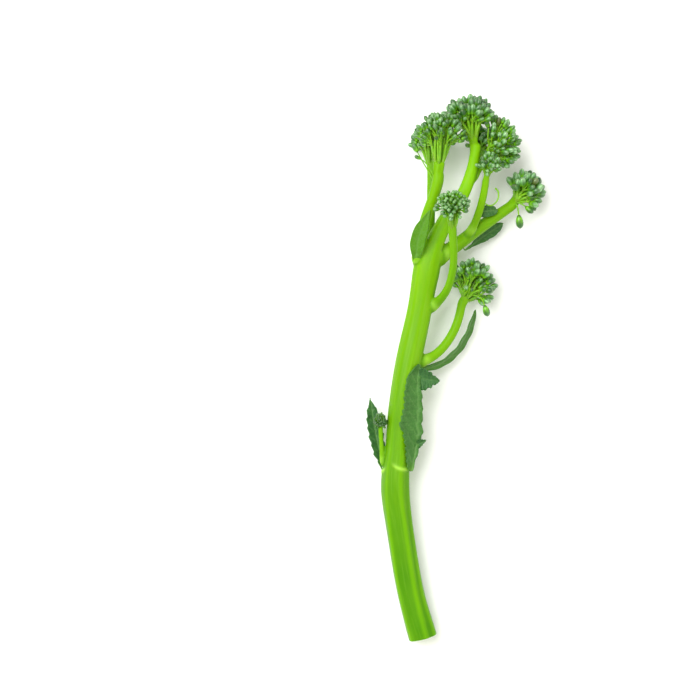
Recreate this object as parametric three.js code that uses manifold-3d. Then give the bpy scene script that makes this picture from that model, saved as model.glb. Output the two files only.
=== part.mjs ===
// One stalk of broccolini, lying as picked: a curved main stem that forks into
// side stems, a floret of flower buds at the end of each stem, and the small
// leaves that grow at the joints. Millimetres, +Z up, +Y from the cut end to the
// crown. The origin is the middle of the footprint on the surface it lies on.

import * as THREE from 'three';
import { mergeVertices } from 'three/addons/utils/BufferGeometryUtils.js';
import Module from 'manifold-3d';

const wasm = await Module();
wasm.setup();

// Driving dimensions, in millimetres unless a comment says otherwise.
const CLEARANCE = 0.3; // gap left where two pieces meet
const MERGE_DISTANCE = 1e-4; // vertices closer than this are one
const MAIN_STEM_SIDES = 12;
const MAIN_STEM_STEPS = 40;
const SIDE_STEM_SIDES = 8;
const SIDE_STEM_STEPS = 10;
const BUD_CLUMP_RADIUS = 2.7; // one low bump stands for a clump of buds
const BUD_CLUMP_SPACING = 5.2; // middle to middle, over the surface of a floret
const BRANCHLET_COUNT = 5;
const BRANCHLET_RADIUS = 0.75;
const BRANCHLET_SIDES = 5;
const BRANCHLET_SPREAD = 0.8; // how much of a floret's reach its branchlets fan over
const BRANCHLET_REACH = 0.55; // how far out they end, as a share of the floret's radius
const FLORET_SEGMENTS = 8; // around the dome under the buds
const DOME_STEPS = 3; // from the rim of the dome to its top
const DOME_CONE_DEPTH = 0.45; // of the cone below the dome, as a share of its radius
const DOME_INSET = 0.7; // how far bud clumps stand out of the dome, as a share of their radius
const CLUMP_RADII_IN_FLORET = 2.6; // at least, so that small florets get small clumps
const DOME_FACET_ALLOWANCE = 1.12; // so that a faceted dome still clears the round one
const LEAF_THICKNESS = 0.8;
const LEAF_STEPS_ACROSS = 3;
const LEAF_STEPS_ALONG = 12; // at least: a toothed leaf takes two for each tooth
const LEAF_EDGE_THINNING = 0.4; // share of the thickness lost at the edges
const GOLDEN_ANGLE = Math.PI * (3 - Math.sqrt(5)); // radians

// Each stem is a list of points [x, y, z, radius] from its root to its end.
const STEMS = {
  main_stem: [
    [-11.7, -91.6, 5.2, 5.2],
    [-16.1, -75.1, 6.0, 4.8],
    [-20.3, -49.7, 7.7, 4.8],
    [-21.3, -38.3, 8.6, 5.0],
    [-20.3, -27.3, 9.4, 4.5],
    [-19.5, -14.0, 10.3, 4.2],
    [-17.3, -0.3, 11.2, 4.4],
    [-13.4, 17.7, 12.5, 4.3],
    [-11.8, 27.2, 13.3, 4.4],
    [-10.3, 35.6, 13.9, 4.8],
    [-8.3, 42.0, 14.3, 3.4],
    [-5.9, 47.4, 14.6, 3.0],
    [-2.2, 53.8, 15.0, 2.5],
    [1.2, 58.5, 15.5, 2.1],
    [3.2, 63.6, 16.0, 1.9],
    [4.8, 69.3, 16.5, 1.7],
    [5.5, 74.3, 17.0, 1.7],
  ],
  left_crown_stem: [
    [-11.6, 35.3, 14.0, 2.6],
    [-12.6, 41.6, 16.5, 2.1],
    [-11.8, 49.5, 19.5, 1.9],
    [-9.9, 55.1, 21.0, 1.9],
    [-8.1, 60.0, 22.0, 2.0],
    [-7.3, 63.7, 22.5, 2.2],
  ],
  far_right_stem: [
    [-8.2, 38.0, 13.5, 3.0],
    [-3.7, 40.3, 12.0, 2.7],
    [1.8, 44.2, 10.4, 2.5],
    [7.2, 48.3, 9.3, 2.4],
    [12.6, 52.1, 8.7, 2.2],
    [18.0, 55.7, 8.2, 1.9],
  ],
  front_stem: [
    [-9.9, 21.7, 13.5, 1.9],
    [-6.3, 23.7, 16.5, 1.6],
    [-3.8, 27.6, 19.5, 1.4],
    [-2.4, 32.9, 22.0, 1.4],
    [-2.0, 38.2, 23.5, 1.4],
    [-2.3, 42.7, 24.5, 1.5],
  ],
  side_shoot_stem: [
    [-13.9, 2.7, 11.0, 2.0],
    [-9.1, 4.1, 10.3, 1.7],
    [-5.0, 7.5, 9.5, 1.6],
    [-1.5, 12.6, 9.0, 1.6],
    [0.5, 17.7, 8.8, 1.6],
    [1.5, 22.5, 8.8, 1.6],
  ],
  inner_crown_stem: [
    [2.4, 43.6, 10.2, 1.4],
    [6.0, 50.6, 13.4, 1.4],
    [8.2, 58.0, 16.0, 1.4],
    [9.1, 63.8, 17.5, 1.3],
  ],
  right_crown_stem: [
    [3.2, 63.6, 16.0, 1.4],
    [7.5, 69.0, 15.2, 1.3],
    [10.0, 73.4, 14.6, 1.2],
  ],
  back_left_stem: [
    [-9.6, 40.0, 13.6, 2.0],
    [-9.4, 49.0, 11.0, 1.7],
    [-9.0, 58.0, 9.2, 1.6],
    [-9.0, 66.5, 8.5, 1.5],
  ],
  back_right_stem: [
    [-2.2, 53.8, 15.0, 1.5],
    [2.6, 60.0, 11.0, 1.4],
    [6.2, 67.5, 9.0, 1.3],
  ],
  bud_shoot_stem: [
    [-21.6, -38.5, 8.5, 1.2],
    [-25.1, -31.5, 9.4, 1.0],
    [-26.0, -25.5, 10.4, 0.9],
    [-26.3, -20.5, 11.2, 0.9],
  ],
};

// Each floret: where its branchlets start, the middle and radius of the round
// surface its buds fill, the way it faces, and how far round it reaches (degrees).
const FLORETS = {
  top_floret: {
    root: [5.5, 74.3, 17.0], middle: [3.8, 84.4, 17.4], facing: [-0.15, 1, 0.1], radius: 7.8, reach: 88,
  },
  left_crown_floret: {
    root: [-7.3, 63.7, 22.5], middle: [-6.4, 76.4, 22.8], facing: [-0.05, 1, 0.35], radius: 9.0, reach: 86,
  },
  far_right_floret: {
    root: [18.0, 55.7, 8.2], middle: [23.3, 60.2, 7.1], facing: [0.9, 0.45, 0], radius: 7.0, reach: 100,
  },
  front_floret: {
    root: [-2.3, 42.7, 24.5], middle: [-2.8, 53.2, 27.4], facing: [-0.05, 0.7, 0.8], radius: 6.6, reach: 95,
  },
  side_shoot_floret: {
    root: [1.5, 22.5, 8.8], middle: [5.2, 29.0, 8.0], facing: [0.5, 0.9, 0.05], radius: 8.0, reach: 105,
  },
  inner_crown_floret: {
    root: [9.1, 63.8, 17.5], middle: [10.2, 68.4, 19.2], facing: [0.35, 0.8, 0.5], radius: 4.6, reach: 95,
  },
  right_crown_floret: {
    root: [10.0, 73.4, 14.6], middle: [13.4, 77.2, 14.6], facing: [0.75, 0.7, 0.05], radius: 6.6, reach: 100,
  },
  back_left_floret: {
    root: [-9.0, 66.5, 8.5], middle: [-9.3, 76.0, 8.4], facing: [-0.2, 1, -0.2], radius: 8.4, reach: 92,
  },
  back_right_floret: {
    root: [6.2, 67.5, 9.0], middle: [7.4, 76.4, 8.0], facing: [0.15, 1, -0.2], radius: 7.8, reach: 92,
  },
  bud_shoot_floret: {
    root: [-26.3, -20.5, 11.2], middle: [-26.4, -17.4, 11.9], facing: [0, 1, 0.3], radius: 2.5, reach: 110,
  },
};

// Each leaf: points [x, y, z, half width] along its middle vein, the way its face
// looks, how deep it is cupped, and the depth and number of teeth along its edges.
const LEAVES = {
  serrated_leaf: {
    spine: [
      [-17.6, -34.5, 13.6, 0.9],
      [-15.9, -28.4, 14.3, 2.1],
      [-15.2, -20.0, 15.0, 2.8],
      [-15.0, -10.0, 15.9, 2.8],
      [-14.6, -3.0, 16.6, 2.6],
      [-13.6, 2.0, 17.0, 0.8],
    ],
    facing: [0.25, 0, 1], cup: -0.12, toothDepth: 0.35, teeth: 9,
    lobe: [
      [-14.6, -6.0, 16.2, 2.6],
      [-11.5, -4.2, 16.0, 2.4],
      [-8.8, -3.4, 15.6, 1.5],
      [-6.4, -3.8, 15.2, 0.5],
    ],
  },
  strap_leaf: {
    spine: [
      [-12.6, 0.2, 9.4, 1.2],
      [-6.0, 1.6, 7.6, 1.9],
      [-0.2, 6.0, 6.4, 2.3],
      [3.4, 11.4, 5.8, 2.3],
      [5.6, 17.0, 5.6, 1.9],
      [6.6, 21.6, 5.6, 0.8],
    ],
    facing: [0.8, -0.3, 0.45], cup: 0.1, toothDepth: 0, teeth: 0,
  },
  bud_shoot_leaf: {
    spine: [
      [-24.4, -35.5, 6.6, 0.9],
      [-26.4, -28.5, 6.6, 2.0],
      [-28.1, -20.6, 6.4, 2.4],
      [-29.3, -13.0, 6.2, 1.7],
      [-30.0, -8.6, 6.0, 0.6],
    ],
    facing: [0.35, 0, 1], cup: 0.15, toothDepth: 0.3, teeth: 6,
  },
  fork_bract: {
    spine: [
      [-14.2, 36.4, 18.2, 1.5],
      [-14.8, 41.2, 20.0, 1.9],
      [-14.2, 47.4, 22.4, 1.8],
      [-12.2, 54.0, 24.2, 0.7],
    ],
    facing: [-0.2, -0.25, 1], cup: -0.2, toothDepth: 0, teeth: 0,
  },
  oval_leaf: {
    spine: [
      [13.6, 53.9, 11.8, 0.9],
      [10.6, 54.1, 12.6, 2.0],
      [7.9, 53.4, 12.6, 1.6],
      [6.6, 52.6, 12.2, 0.8],
    ],
    facing: [0, -0.2, 1], cup: 0.1, toothDepth: 0, teeth: 0,
  },
  under_leaf: {
    spine: [
      [3.2, 39.8, 6.8, 0.8],
      [8.2, 43.6, 4.8, 1.5],
      [13.2, 47.0, 4.2, 1.9],
      [17.0, 49.8, 4.0, 0.8],
    ],
    facing: [0.1, -0.2, 1], cup: 0.12, toothDepth: 0, teeth: 0,
  },
};

const MATERIALS = {
  stem: new THREE.MeshStandardMaterial({ color: 0x7cc428, roughness: 0.4, metalness: 0 }),
  branch: new THREE.MeshStandardMaterial({ color: 0x93d233, roughness: 0.45, metalness: 0 }),
  buds: new THREE.MeshStandardMaterial({ color: 0x4c8a4a, roughness: 0.6, metalness: 0 }),
  leaf: new THREE.MeshStandardMaterial({ color: 0x3f7a3c, roughness: 0.6, metalness: 0 }),
};

// Turns a closed three.js geometry into a solid that can be joined and cut.
function toSolid(geometry) {
  const bare = geometry.clone();
  bare.deleteAttribute('normal');
  bare.deleteAttribute('uv');
  const merged = mergeVertices(bare, MERGE_DISTANCE);
  const corners = merged.index.array;
  const kept = [];
  for (let i = 0; i < corners.length; i += 3) {
    const [a, b, c] = [corners[i], corners[i + 1], corners[i + 2]];
    if (a !== b && b !== c && c !== a) {
      kept.push(a, b, c);
    }
  }
  return new wasm.Manifold(new wasm.Mesh({
    numProp: 3,
    vertProperties: new Float32Array(merged.attributes.position.array),
    triVerts: new Uint32Array(kept),
  }));
}

// The largest part of a solid: slivers that a cut leaves behind are dropped.
function largestPart(solid) {
  const parts = solid.decompose();
  return parts.reduce((best, part) => (part.volume() > best.volume() ? part : best));
}

// A smooth line through points [x, y, z, size], with the size at each place on it.
function smoothLine(points) {
  const line = new THREE.CatmullRomCurve3(
    points.map(([x, y, z]) => new THREE.Vector3(x, y, z)), false, 'catmullrom');
  const sizes = new THREE.CatmullRomCurve3(
    points.map((point) => new THREE.Vector3(point[3], 0, 0)), false, 'catmullrom');
  return (u, grow) => {
    const place = line.getPointAt(u);
    const along = line.getTangentAt(u);
    const size = sizes.getPoint(line.getUtoTmapping(u)).x;
    if (u <= 0) {
      place.addScaledVector(along, -grow);
    }
    if (u >= 1) {
      place.addScaledVector(along, grow);
    }
    return { place, along, size: size + grow };
  };
}

// Two directions square to a line, the second as near to a wanted one as it can be.
function squareTo(along, wanted) {
  const side = new THREE.Vector3().crossVectors(along, wanted).normalize();
  const face = new THREE.Vector3().crossVectors(side, along).normalize();
  return { side, face };
}

// A round stem through its points, closed at both ends.
function stemSolid(points, sides, steps, grow) {
  const at = smoothLine(points);
  const geometry = new THREE.CylinderGeometry(1, 1, 1, sides, steps);
  const position = geometry.attributes.position;
  const up = new THREE.Vector3(0, 0, 1);
  for (let i = 0; i < position.count; i += 1) {
    const { place, along, size } = at(position.getY(i) + 0.5, grow);
    const { side, face } = squareTo(along, up);
    place.addScaledVector(side, position.getX(i) * size);
    place.addScaledVector(face, position.getZ(i) * size);
    position.setXYZ(i, place.x, place.y, place.z);
  }
  return toSolid(geometry);
}

// The dome that carries the buds: round above, drawn in to a blunt cone below.
function domeSolid(radius, reach) {
  const profile = [new THREE.Vector2(0, -DOME_CONE_DEPTH * radius)];
  for (let i = 0; i <= DOME_STEPS; i += 1) {
    const angle = reach * (1 - i / DOME_STEPS);
    profile.push(new THREE.Vector2(radius * Math.sin(angle), radius * Math.cos(angle)));
  }
  profile[profile.length - 1].x = 0;
  return toSolid(new THREE.LatheGeometry(profile, FLORET_SEGMENTS));
}

// Directions spread evenly over a cap around +Y.
function capDirections(count, reach) {
  const directions = [];
  for (let i = 0; i < count; i += 1) {
    const height = 1 - ((1 - Math.cos(reach)) * (i + 0.5)) / count;
    const width = Math.sqrt(1 - height * height);
    const turn = i * GOLDEN_ANGLE;
    directions.push(new THREE.Vector3(width * Math.cos(turn), height, width * Math.sin(turn)));
  }
  return directions;
}

// A floret: branchlets fan out from its root and hold a dome covered in bud clumps.
// When it is grown, to clear a neighbour, the clumps become one smooth dome.
function floretSolid({ root, middle, facing, radius, reach }, grow) {
  const cap = THREE.MathUtils.degToRad(reach);
  const clump = Math.min(BUD_CLUMP_RADIUS, radius / CLUMP_RADII_IN_FLORET);
  const turn = new THREE.Quaternion().setFromUnitVectors(
    new THREE.Vector3(0, 1, 0), new THREE.Vector3(...facing).normalize());
  const placement = new THREE.Matrix4().compose(
    new THREE.Vector3(...middle), turn, new THREE.Vector3(1, 1, 1));
  const dome = grow > 0
    ? domeSolid(DOME_FACET_ALLOWANCE * radius + grow, cap + clump / radius)
    : domeSolid(radius - DOME_INSET * clump, cap);
  const parts = [dome.transform(placement.toArray())];
  const capArea = 2 * Math.PI * radius * radius * (1 - Math.cos(cap));
  const clumps = Math.round(capArea / (BUD_CLUMP_SPACING * BUD_CLUMP_SPACING));
  if (grow === 0) {
    for (const direction of capDirections(clumps, cap)) {
      const bump = new THREE.IcosahedronGeometry(clump, 0);
      bump.translate(...direction.multiplyScalar(radius - clump).toArray());
      parts.push(toSolid(bump.applyMatrix4(placement)));
    }
  }
  for (const direction of capDirections(BRANCHLET_COUNT, BRANCHLET_SPREAD * cap)) {
    const end = direction.multiplyScalar(BRANCHLET_REACH * radius).applyMatrix4(placement);
    const points = [[...root, BRANCHLET_RADIUS], [...end.toArray(), BRANCHLET_RADIUS]];
    parts.push(stemSolid(points, BRANCHLET_SIDES, 1, grow));
  }
  return wasm.Manifold.union(parts);
}

// A thin blade through its spine points, cupped across and toothed along its edges.
function bladeSolid(spine, { facing, cup, toothDepth, teeth }, grow) {
  const at = smoothLine(spine);
  const steps = Math.max(LEAF_STEPS_ALONG, teeth * 2);
  const geometry = new THREE.BoxGeometry(2, 1, 1, LEAF_STEPS_ACROSS, 1, steps);
  const position = geometry.attributes.position;
  const wanted = new THREE.Vector3(...facing);
  for (let i = 0; i < position.count; i += 1) {
    const across = position.getX(i);
    const step = Math.round((position.getZ(i) + 0.5) * steps);
    const { place, along, size } = at(step / steps, grow);
    const { side, face } = squareTo(along, wanted);
    const half = size + (step % 2 === 1 ? toothDepth : 0);
    const thickness = LEAF_THICKNESS * (1 - LEAF_EDGE_THINNING * across * across) + 2 * grow;
    place.addScaledVector(side, -across * half);
    place.addScaledVector(face, position.getY(i) * thickness + cup * across * across * half);
    position.setXYZ(i, place.x, place.y, place.z);
  }
  return toSolid(geometry);
}

// A leaf is its blade, and where it has one, the side lobe that folds out of it.
function leafSolid(leaf, grow) {
  const blade = bladeSolid(leaf.spine, leaf, grow);
  return leaf.lobe ? blade.add(bladeSolid(leaf.lobe, leaf, grow)) : blade;
}

function boxOf(solid) {
  const { min, max } = solid.boundingBox();
  return new THREE.Box3(new THREE.Vector3(...min), new THREE.Vector3(...max));
}

function toMesh(name, solid, material) {
  const { vertProperties, triVerts } = solid.getMesh();
  const geometry = new THREE.BufferGeometry();
  geometry.setAttribute('position', new THREE.BufferAttribute(new Float32Array(vertProperties), 3));
  geometry.setIndex(new THREE.BufferAttribute(new Uint32Array(triVerts), 1));
  geometry.computeVertexNormals();
  const mesh = new THREE.Mesh(geometry, material);
  mesh.name = name;
  return mesh;
}

// Every piece in the order it is fitted: a later one is cut back to clear the earlier.
const pieces = [];
for (const [name, points] of Object.entries(STEMS)) {
  const main = name === 'main_stem';
  const sides = main ? MAIN_STEM_SIDES : SIDE_STEM_SIDES;
  const steps = main ? MAIN_STEM_STEPS : SIDE_STEM_STEPS;
  pieces.push({
    name,
    material: main ? MATERIALS.stem : MATERIALS.branch,
    shape: (grow) => stemSolid(points, sides, steps, grow),
  });
}
for (const [name, floret] of Object.entries(FLORETS)) {
  pieces.push({ name, material: MATERIALS.buds, shape: (grow) => floretSolid(floret, grow) });
}
for (const [name, leaf] of Object.entries(LEAVES)) {
  pieces.push({ name, material: MATERIALS.leaf, shape: (grow) => leafSolid(leaf, grow) });
}

const stalk = new THREE.Group();
const fitted = [];
for (const { name, material, shape } of pieces) {
  let solid = shape(0);
  for (const earlier of fitted) {
    if (boxOf(solid).intersectsBox(earlier.box)) {
      solid = solid.subtract(earlier.keepOut);
    }
  }
  solid = largestPart(solid);
  const keepOut = shape(CLEARANCE);
  fitted.push({ keepOut, box: boxOf(keepOut) });
  stalk.add(toMesh(name, solid, material));
}

export default stalk;
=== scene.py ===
import math
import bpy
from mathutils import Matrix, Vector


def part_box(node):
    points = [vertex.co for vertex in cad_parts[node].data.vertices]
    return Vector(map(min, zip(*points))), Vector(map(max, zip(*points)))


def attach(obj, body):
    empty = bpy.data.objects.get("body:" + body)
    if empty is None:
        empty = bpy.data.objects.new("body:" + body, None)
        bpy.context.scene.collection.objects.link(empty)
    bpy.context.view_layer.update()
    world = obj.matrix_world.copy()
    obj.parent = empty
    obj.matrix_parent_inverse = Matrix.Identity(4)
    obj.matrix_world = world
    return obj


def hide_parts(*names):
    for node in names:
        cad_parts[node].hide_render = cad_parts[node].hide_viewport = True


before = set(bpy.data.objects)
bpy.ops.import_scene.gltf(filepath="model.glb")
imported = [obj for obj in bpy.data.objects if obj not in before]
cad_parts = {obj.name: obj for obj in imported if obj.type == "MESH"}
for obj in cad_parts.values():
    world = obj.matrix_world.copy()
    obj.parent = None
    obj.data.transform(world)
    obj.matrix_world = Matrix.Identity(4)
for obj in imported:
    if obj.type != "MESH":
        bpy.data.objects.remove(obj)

from types import SimpleNamespace

import bmesh
import bpy
import numpy as np
from bpy.props import FloatProperty, FloatVectorProperty, IntProperty, PointerProperty
from mathutils import Vector

bl_info = {
    "name": "Broccolini stalk",
    "version": (1, 0, 0),
    "blender": (4, 5, 0),
    "location": "View3D > Sidebar > Stalk",
    "description": "Grows the skin, florets and leaves of a broccolini stalk around its packed frame",
    "category": "Object",
}

MM = 0.001
BODY = "root"
UP = np.array([0.0, 0.0, 1.0])
CROWNWARD = np.array([0.0, 1.0, 0.0])
GOLDEN_ANGLE = math.pi * (3 - math.sqrt(5))
TINY = 1e-12
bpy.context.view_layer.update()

MAIN_STEM = "main_stem"
SIDE_STEMS = (
    "far_right_stem", "left_crown_stem", "front_stem", "side_shoot_stem", "inner_crown_stem",
    "right_crown_stem", "back_left_stem", "back_right_stem", "bud_shoot_stem",
)
# Which stem a side stem grows out of, where that isn't the main stem.
PARENTS = {"inner_crown_stem": "far_right_stem"}


# ---------------------------------------------------------------- small helpers

def linear_colour(code):
    """An sRGB hex colour such as "93DB2E" as linear red, green, blue, alpha."""
    values = [int(code[i:i + 2], 16) / 255 for i in (0, 2, 4)]
    return [v / 12.92 if v <= 0.04045 else ((v + 0.055) / 1.055) ** 2.4 for v in values] + [1.0]


def colour_property(name, code, description):
    """A colour setting whose default is an sRGB hex colour."""
    return FloatVectorProperty(
        name=name, description=description, default=linear_colour(code), size=4, subtype="COLOR",
        min=0, max=1)


def length_property(name, millimetres, description):
    """A length setting whose default is given in millimetres."""
    return FloatProperty(name=name, description=description, default=millimetres * MM, unit="LENGTH", min=0)


def number_property(name, default, description, lowest=0.0):
    """A plain number setting."""
    return FloatProperty(name=name, description=description, default=default, min=lowest)


def add_node(tree, kind, inputs=None, ramp=None, **settings):
    """Adds one node. An input is a value, or the socket or node to link; a ramp lists (place, colour)."""
    node = tree.nodes.new(kind)
    for key, value in settings.items():
        setattr(node, key, value)
    for key, value in (inputs or {}).items():
        if isinstance(value, bpy.types.Node):
            value = value.outputs[0]
        if isinstance(value, bpy.types.NodeSocket):
            tree.links.new(value, node.inputs[key])
        else:
            node.inputs[key].default_value = value
    if ramp:
        stops = node.color_ramp.elements
        while len(stops) < len(ramp):
            stops.new(1.0)
        for stop, (place, colour) in zip(stops, ramp):
            stop.position = place
            stop.color = colour
    return node


def smoothstep(low, high, value):
    """0 below low, 1 above high, and a soft ramp between."""
    t = np.clip((value - low) / (high - low), 0, 1)
    return t * t * (3 - 2 * t)


def unit(vectors):
    """The same directions at length one."""
    vectors = np.asarray(vectors, dtype=float)
    return vectors / np.maximum(np.linalg.norm(vectors, axis=-1, keepdims=True), TINY)


def soften(rows, rounds):
    """Blends each row with its neighbours, in place. The first and last rows stay."""
    for _ in range(rounds):
        rows[1:-1] = (rows[:-2] + 2 * rows[1:-1] + rows[2:]) / 4


def rows_at(places, along, rows):
    """The rows that belong to new places, read from rows at known distances along."""
    return np.column_stack([np.interp(places, along, column) for column in rows.T])


def arc(start, control, end, t):
    """Points on a bend from start to end, pulled towards a control point."""
    return (1 - t) ** 2 * start + 2 * t * (1 - t) * control + t ** 2 * end


def show(name, mesh, materials, nodes):
    """Puts a finished mesh in the scene as a piece that rides on the stalk and stands for CAD nodes."""
    mesh.name = name
    slots = np.empty(len(mesh.polygons), dtype=np.int32)
    mesh.polygons.foreach_get("material_index", slots)
    mesh.materials.clear()  # this also forgets which face has which material
    for material in materials:
        mesh.materials.append(material)
    mesh.polygons.foreach_set("material_index", np.minimum(slots, len(materials) - 1))
    piece = bpy.data.objects.new(name, mesh)
    bpy.context.collection.objects.link(piece)
    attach(piece, BODY)
    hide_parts(*nodes)
    return piece


def set_values(mesh, name, values, kind="FLOAT"):
    """Stores one value or vector for each vertex of a mesh."""
    layer = mesh.attributes.new(name, kind, "POINT")
    layer.data.foreach_set("value" if kind == "FLOAT" else "vector", np.ravel(values))


def vertex_places(mesh):
    places = np.empty(len(mesh.vertices) * 3)
    mesh.vertices.foreach_get("co", places)
    return places.reshape(-1, 3)


def make_holder(mesh):
    """An object that carries modifiers for a while."""
    holder = bpy.data.objects.new("holder", mesh)
    bpy.context.collection.objects.link(holder)
    return holder


def baked(holder):
    """What a holder's modifiers make of it, as a plain mesh. The holder is removed."""
    graph = bpy.context.evaluated_depsgraph_get()
    mesh = bpy.data.meshes.new_from_object(
        holder.evaluated_get(graph), preserve_all_data_layers=True, depsgraph=graph)
    holder.modifiers.clear()
    bpy.data.objects.remove(holder)
    return mesh


def run_tree(mesh, tree, **values):
    """The mesh that a geometry tree makes of another, with the tree's named inputs set."""
    holder = make_holder(mesh)
    modifier = holder.modifiers.new("tree", "NODES")
    modifier.node_group = tree
    for item in tree.interface.items_tree:
        if item.in_out == "INPUT" and item.name in values:
            modifier[item.identifier] = values[item.name]
    return baked(holder)


# ------------------------------------------------- reading the stems from the frame

LINE_STEP = 0.5 * MM
SOFT_REACH = 2 * MM  # kinks shorter than this are softened out of a stem's line
MAIN_SLICES = 90
SIDE_SLICES = 36
END_MARGIN = 0.8  # slices this many radii from an end may miss part of the stem
ROOT_PROBE = 2 * MM  # how far back from its base a side stem looks for its parent
ROOT_GIRTH = 1.15  # of a root beside its stem's base
ROOT_LIMIT = 0.85  # of a root beside its parent
ROOT_SHARE = 0.9  # a root slice counts while its area is over this share of the next one's


class Line:
    """The middle line of a stem: its points, its radius at each, and the distance along it."""

    def __init__(self, points, radii):
        self.points = np.array(points, dtype=float)
        self.radii = np.array(radii, dtype=float)
        steps = np.linalg.norm(np.diff(self.points, axis=0), axis=1)
        self.along = np.concatenate([[0.0], np.cumsum(steps)])

    def resampled(self, step):
        """The same line with evenly spaced points, softened so that slices leave no kinks."""
        count = max(4, int(self.along[-1] / step) + 1)
        places = np.linspace(0, self.along[-1], count)
        rows = rows_at(places, self.along, np.column_stack([self.points, self.radii]))
        soften(rows, int(SOFT_REACH / step) ** 2 + 2)
        return Line(rows[:, :3], rows[:, 3])

    def headings(self):
        return unit(np.gradient(self.points, axis=0))

    def radius_near(self, point):
        """The radius where the middle line passes nearest to a point."""
        return self.radii[np.linalg.norm(self.points - point, axis=1).argmin()]


def node_corners(name):
    """The triangles of a CAD node, as (triangle, corner, xyz)."""
    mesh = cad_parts[name].data
    mesh.calc_loop_triangles()
    order = np.empty(len(mesh.loop_triangles) * 3, dtype=int)
    mesh.loop_triangles.foreach_get("vertices", order)
    return vertex_places(mesh)[order].reshape(-1, 3, 3)


def cross_section(corners, level):
    """Slices a closed solid at a height: the cut's area, its middle, and the points round it."""
    area, moment, rim = 0.0, np.zeros(2), []
    for triangle in corners:
        heights = triangle[:, 2] - level
        ends = {}
        for i in range(3):
            j = (i + 1) % 3
            if (heights[i] > 0) != (heights[j] > 0):
                t = heights[i] / (heights[i] - heights[j])
                ends[bool(heights[i] > 0)] = triangle[i, :2] * (1 - t) + triangle[j, :2] * t
        if len(ends) == 2:
            start, end = ends[False], ends[True]
            twice = start[0] * end[1] - start[1] * end[0]
            area += twice / 2
            moment += (start + end) * twice / 6
            rim.append(start)
    middle = moment / area if rim and abs(area) > TINY else np.zeros(2)
    return abs(area), middle, np.array(rim)


def slices_of(name, count):
    """Slices a node square to its own length. Gives the slices and the axes they were cut in."""
    corners = node_corners(name)
    flat = corners.reshape(-1, 3)
    centre = flat.mean(axis=0)
    axes = np.linalg.svd(flat - centre, full_matrices=False)[2]
    if axes[0] @ CROWNWARD < 0:
        axes[0] = -axes[0]
    turn = np.array([axes[1], axes[2], axes[0]])
    local = (corners - centre) @ turn.T
    low, high = local[:, :, 2].min(), local[:, :, 2].max()
    levels = np.linspace(low, high, count + 2)[1:-1]
    return [(level, *cross_section(local, level)) for level in levels], centre, turn, low, high


def stem_line(name, count=SIDE_SLICES, cut_square=False):
    """The line of a stem's CAD solid. A cut end is square; a root is fitted to its parent."""
    slices, centre, turn, low, high = slices_of(name, count)
    margins = [END_MARGIN * math.sqrt(area / math.pi) for _, area, _, _ in slices]
    first, last = count // 2, count - 1
    while high - slices[last][0] < margins[last]:
        last -= 1
    if cut_square:
        first = 0
        while slices[first][0] - low < margins[first]:
            first += 1
    while first > 0 and not cut_square and slices[first - 1][1] > ROOT_SHARE * slices[first][1]:
        first -= 1
    kept = slices[first:last + 1]
    local = np.array([[middle[0], middle[1], level] for level, _, middle, _ in kept])
    headings = unit(np.gradient(local, axis=0))
    radii = np.sqrt([cut[1] * abs(h[2]) / math.pi for cut, h in zip(kept, headings)])
    ends = []
    for place, heading, radius, limit in (
            (local[0], -headings[0], radii[0], low), (local[-1], headings[-1], radii[-1], high)):
        lean = radius * math.sqrt(max(0.0, 1 - heading[2] ** 2))
        reach = (abs(limit - place[2]) - lean) / abs(heading[2])
        ends.append(place + heading * max(reach, 0.1 * MM))
    local = np.vstack([ends[0], local, ends[1]])
    radii = np.concatenate([[radii[0]], radii, [radii[-1]]])
    return Line(centre + local @ turn, radii)


def nearest_on(lines, point):
    """The middle and the radius of the stem whose skin is nearest to a point."""
    best = None
    for line in lines:
        gaps = np.linalg.norm(line.points - point, axis=1) - line.radii
        i = int(gaps.argmin())
        if best is None or gaps[i] < best[0]:
            best = (gaps[i], line.points[i], line.radii[i])
    return best[1:]


def rooted(line, others):
    """Carries a side stem's line down into the stem that it grows from."""
    base, heading = line.points[0], unit(line.points[3] - line.points[0])
    root, radius = nearest_on(others, base - heading * ROOT_PROBE)
    girth = min(line.radii[0] * ROOT_GIRTH, radius * ROOT_LIMIT)
    return Line(np.vstack([root, line.points]), np.concatenate([[girth], line.radii]))


def read_stems():
    """Every stem's line, the main stem first, each side stem rooted in an earlier one."""
    lines = {MAIN_STEM: stem_line(MAIN_STEM, MAIN_SLICES, cut_square=True)}
    for name in SIDE_STEMS:
        lines[name] = rooted(stem_line(name), list(lines.values()))
    return {name: line.resampled(LINE_STEP) for name, line in lines.items()}


LINES = read_stems()


# ------------------------------------------------------------------ geometry trees

def new_tree(name, sockets):
    """An empty geometry tree with more named inputs, and the sockets that they give."""
    tree = bpy.data.node_groups.new(name, "GeometryNodeTree")
    tree.interface.new_socket("Geometry", in_out="INPUT", socket_type="NodeSocketGeometry")
    tree.interface.new_socket("Geometry", in_out="OUTPUT", socket_type="NodeSocketGeometry")
    for label, kind, default in sockets:
        socket = tree.interface.new_socket(label, in_out="INPUT", socket_type="NodeSocket" + kind)
        if default is not None:
            socket.default_value = default
    return tree, add_node(tree, "NodeGroupInput").outputs


def finish_tree(tree, geometry, material):
    """Ends a geometry tree in real, smooth geometry with a material."""
    real = add_node(tree, "GeometryNodeRealizeInstances", {"Geometry": geometry})
    smooth = add_node(tree, "GeometryNodeSetShadeSmooth", {"Geometry": real})
    painted = add_node(tree, "GeometryNodeSetMaterial", {"Geometry": smooth, "Material": material})
    add_node(tree, "NodeGroupOutput", {"Geometry": painted})
    return tree


def stored(tree, name, kind="FLOAT"):
    """A value that the geometry stores for each point."""
    node = add_node(tree, "GeometryNodeInputNamedAttribute", {"Name": name}, data_type=kind)
    return node.outputs["Attribute"]


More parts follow.
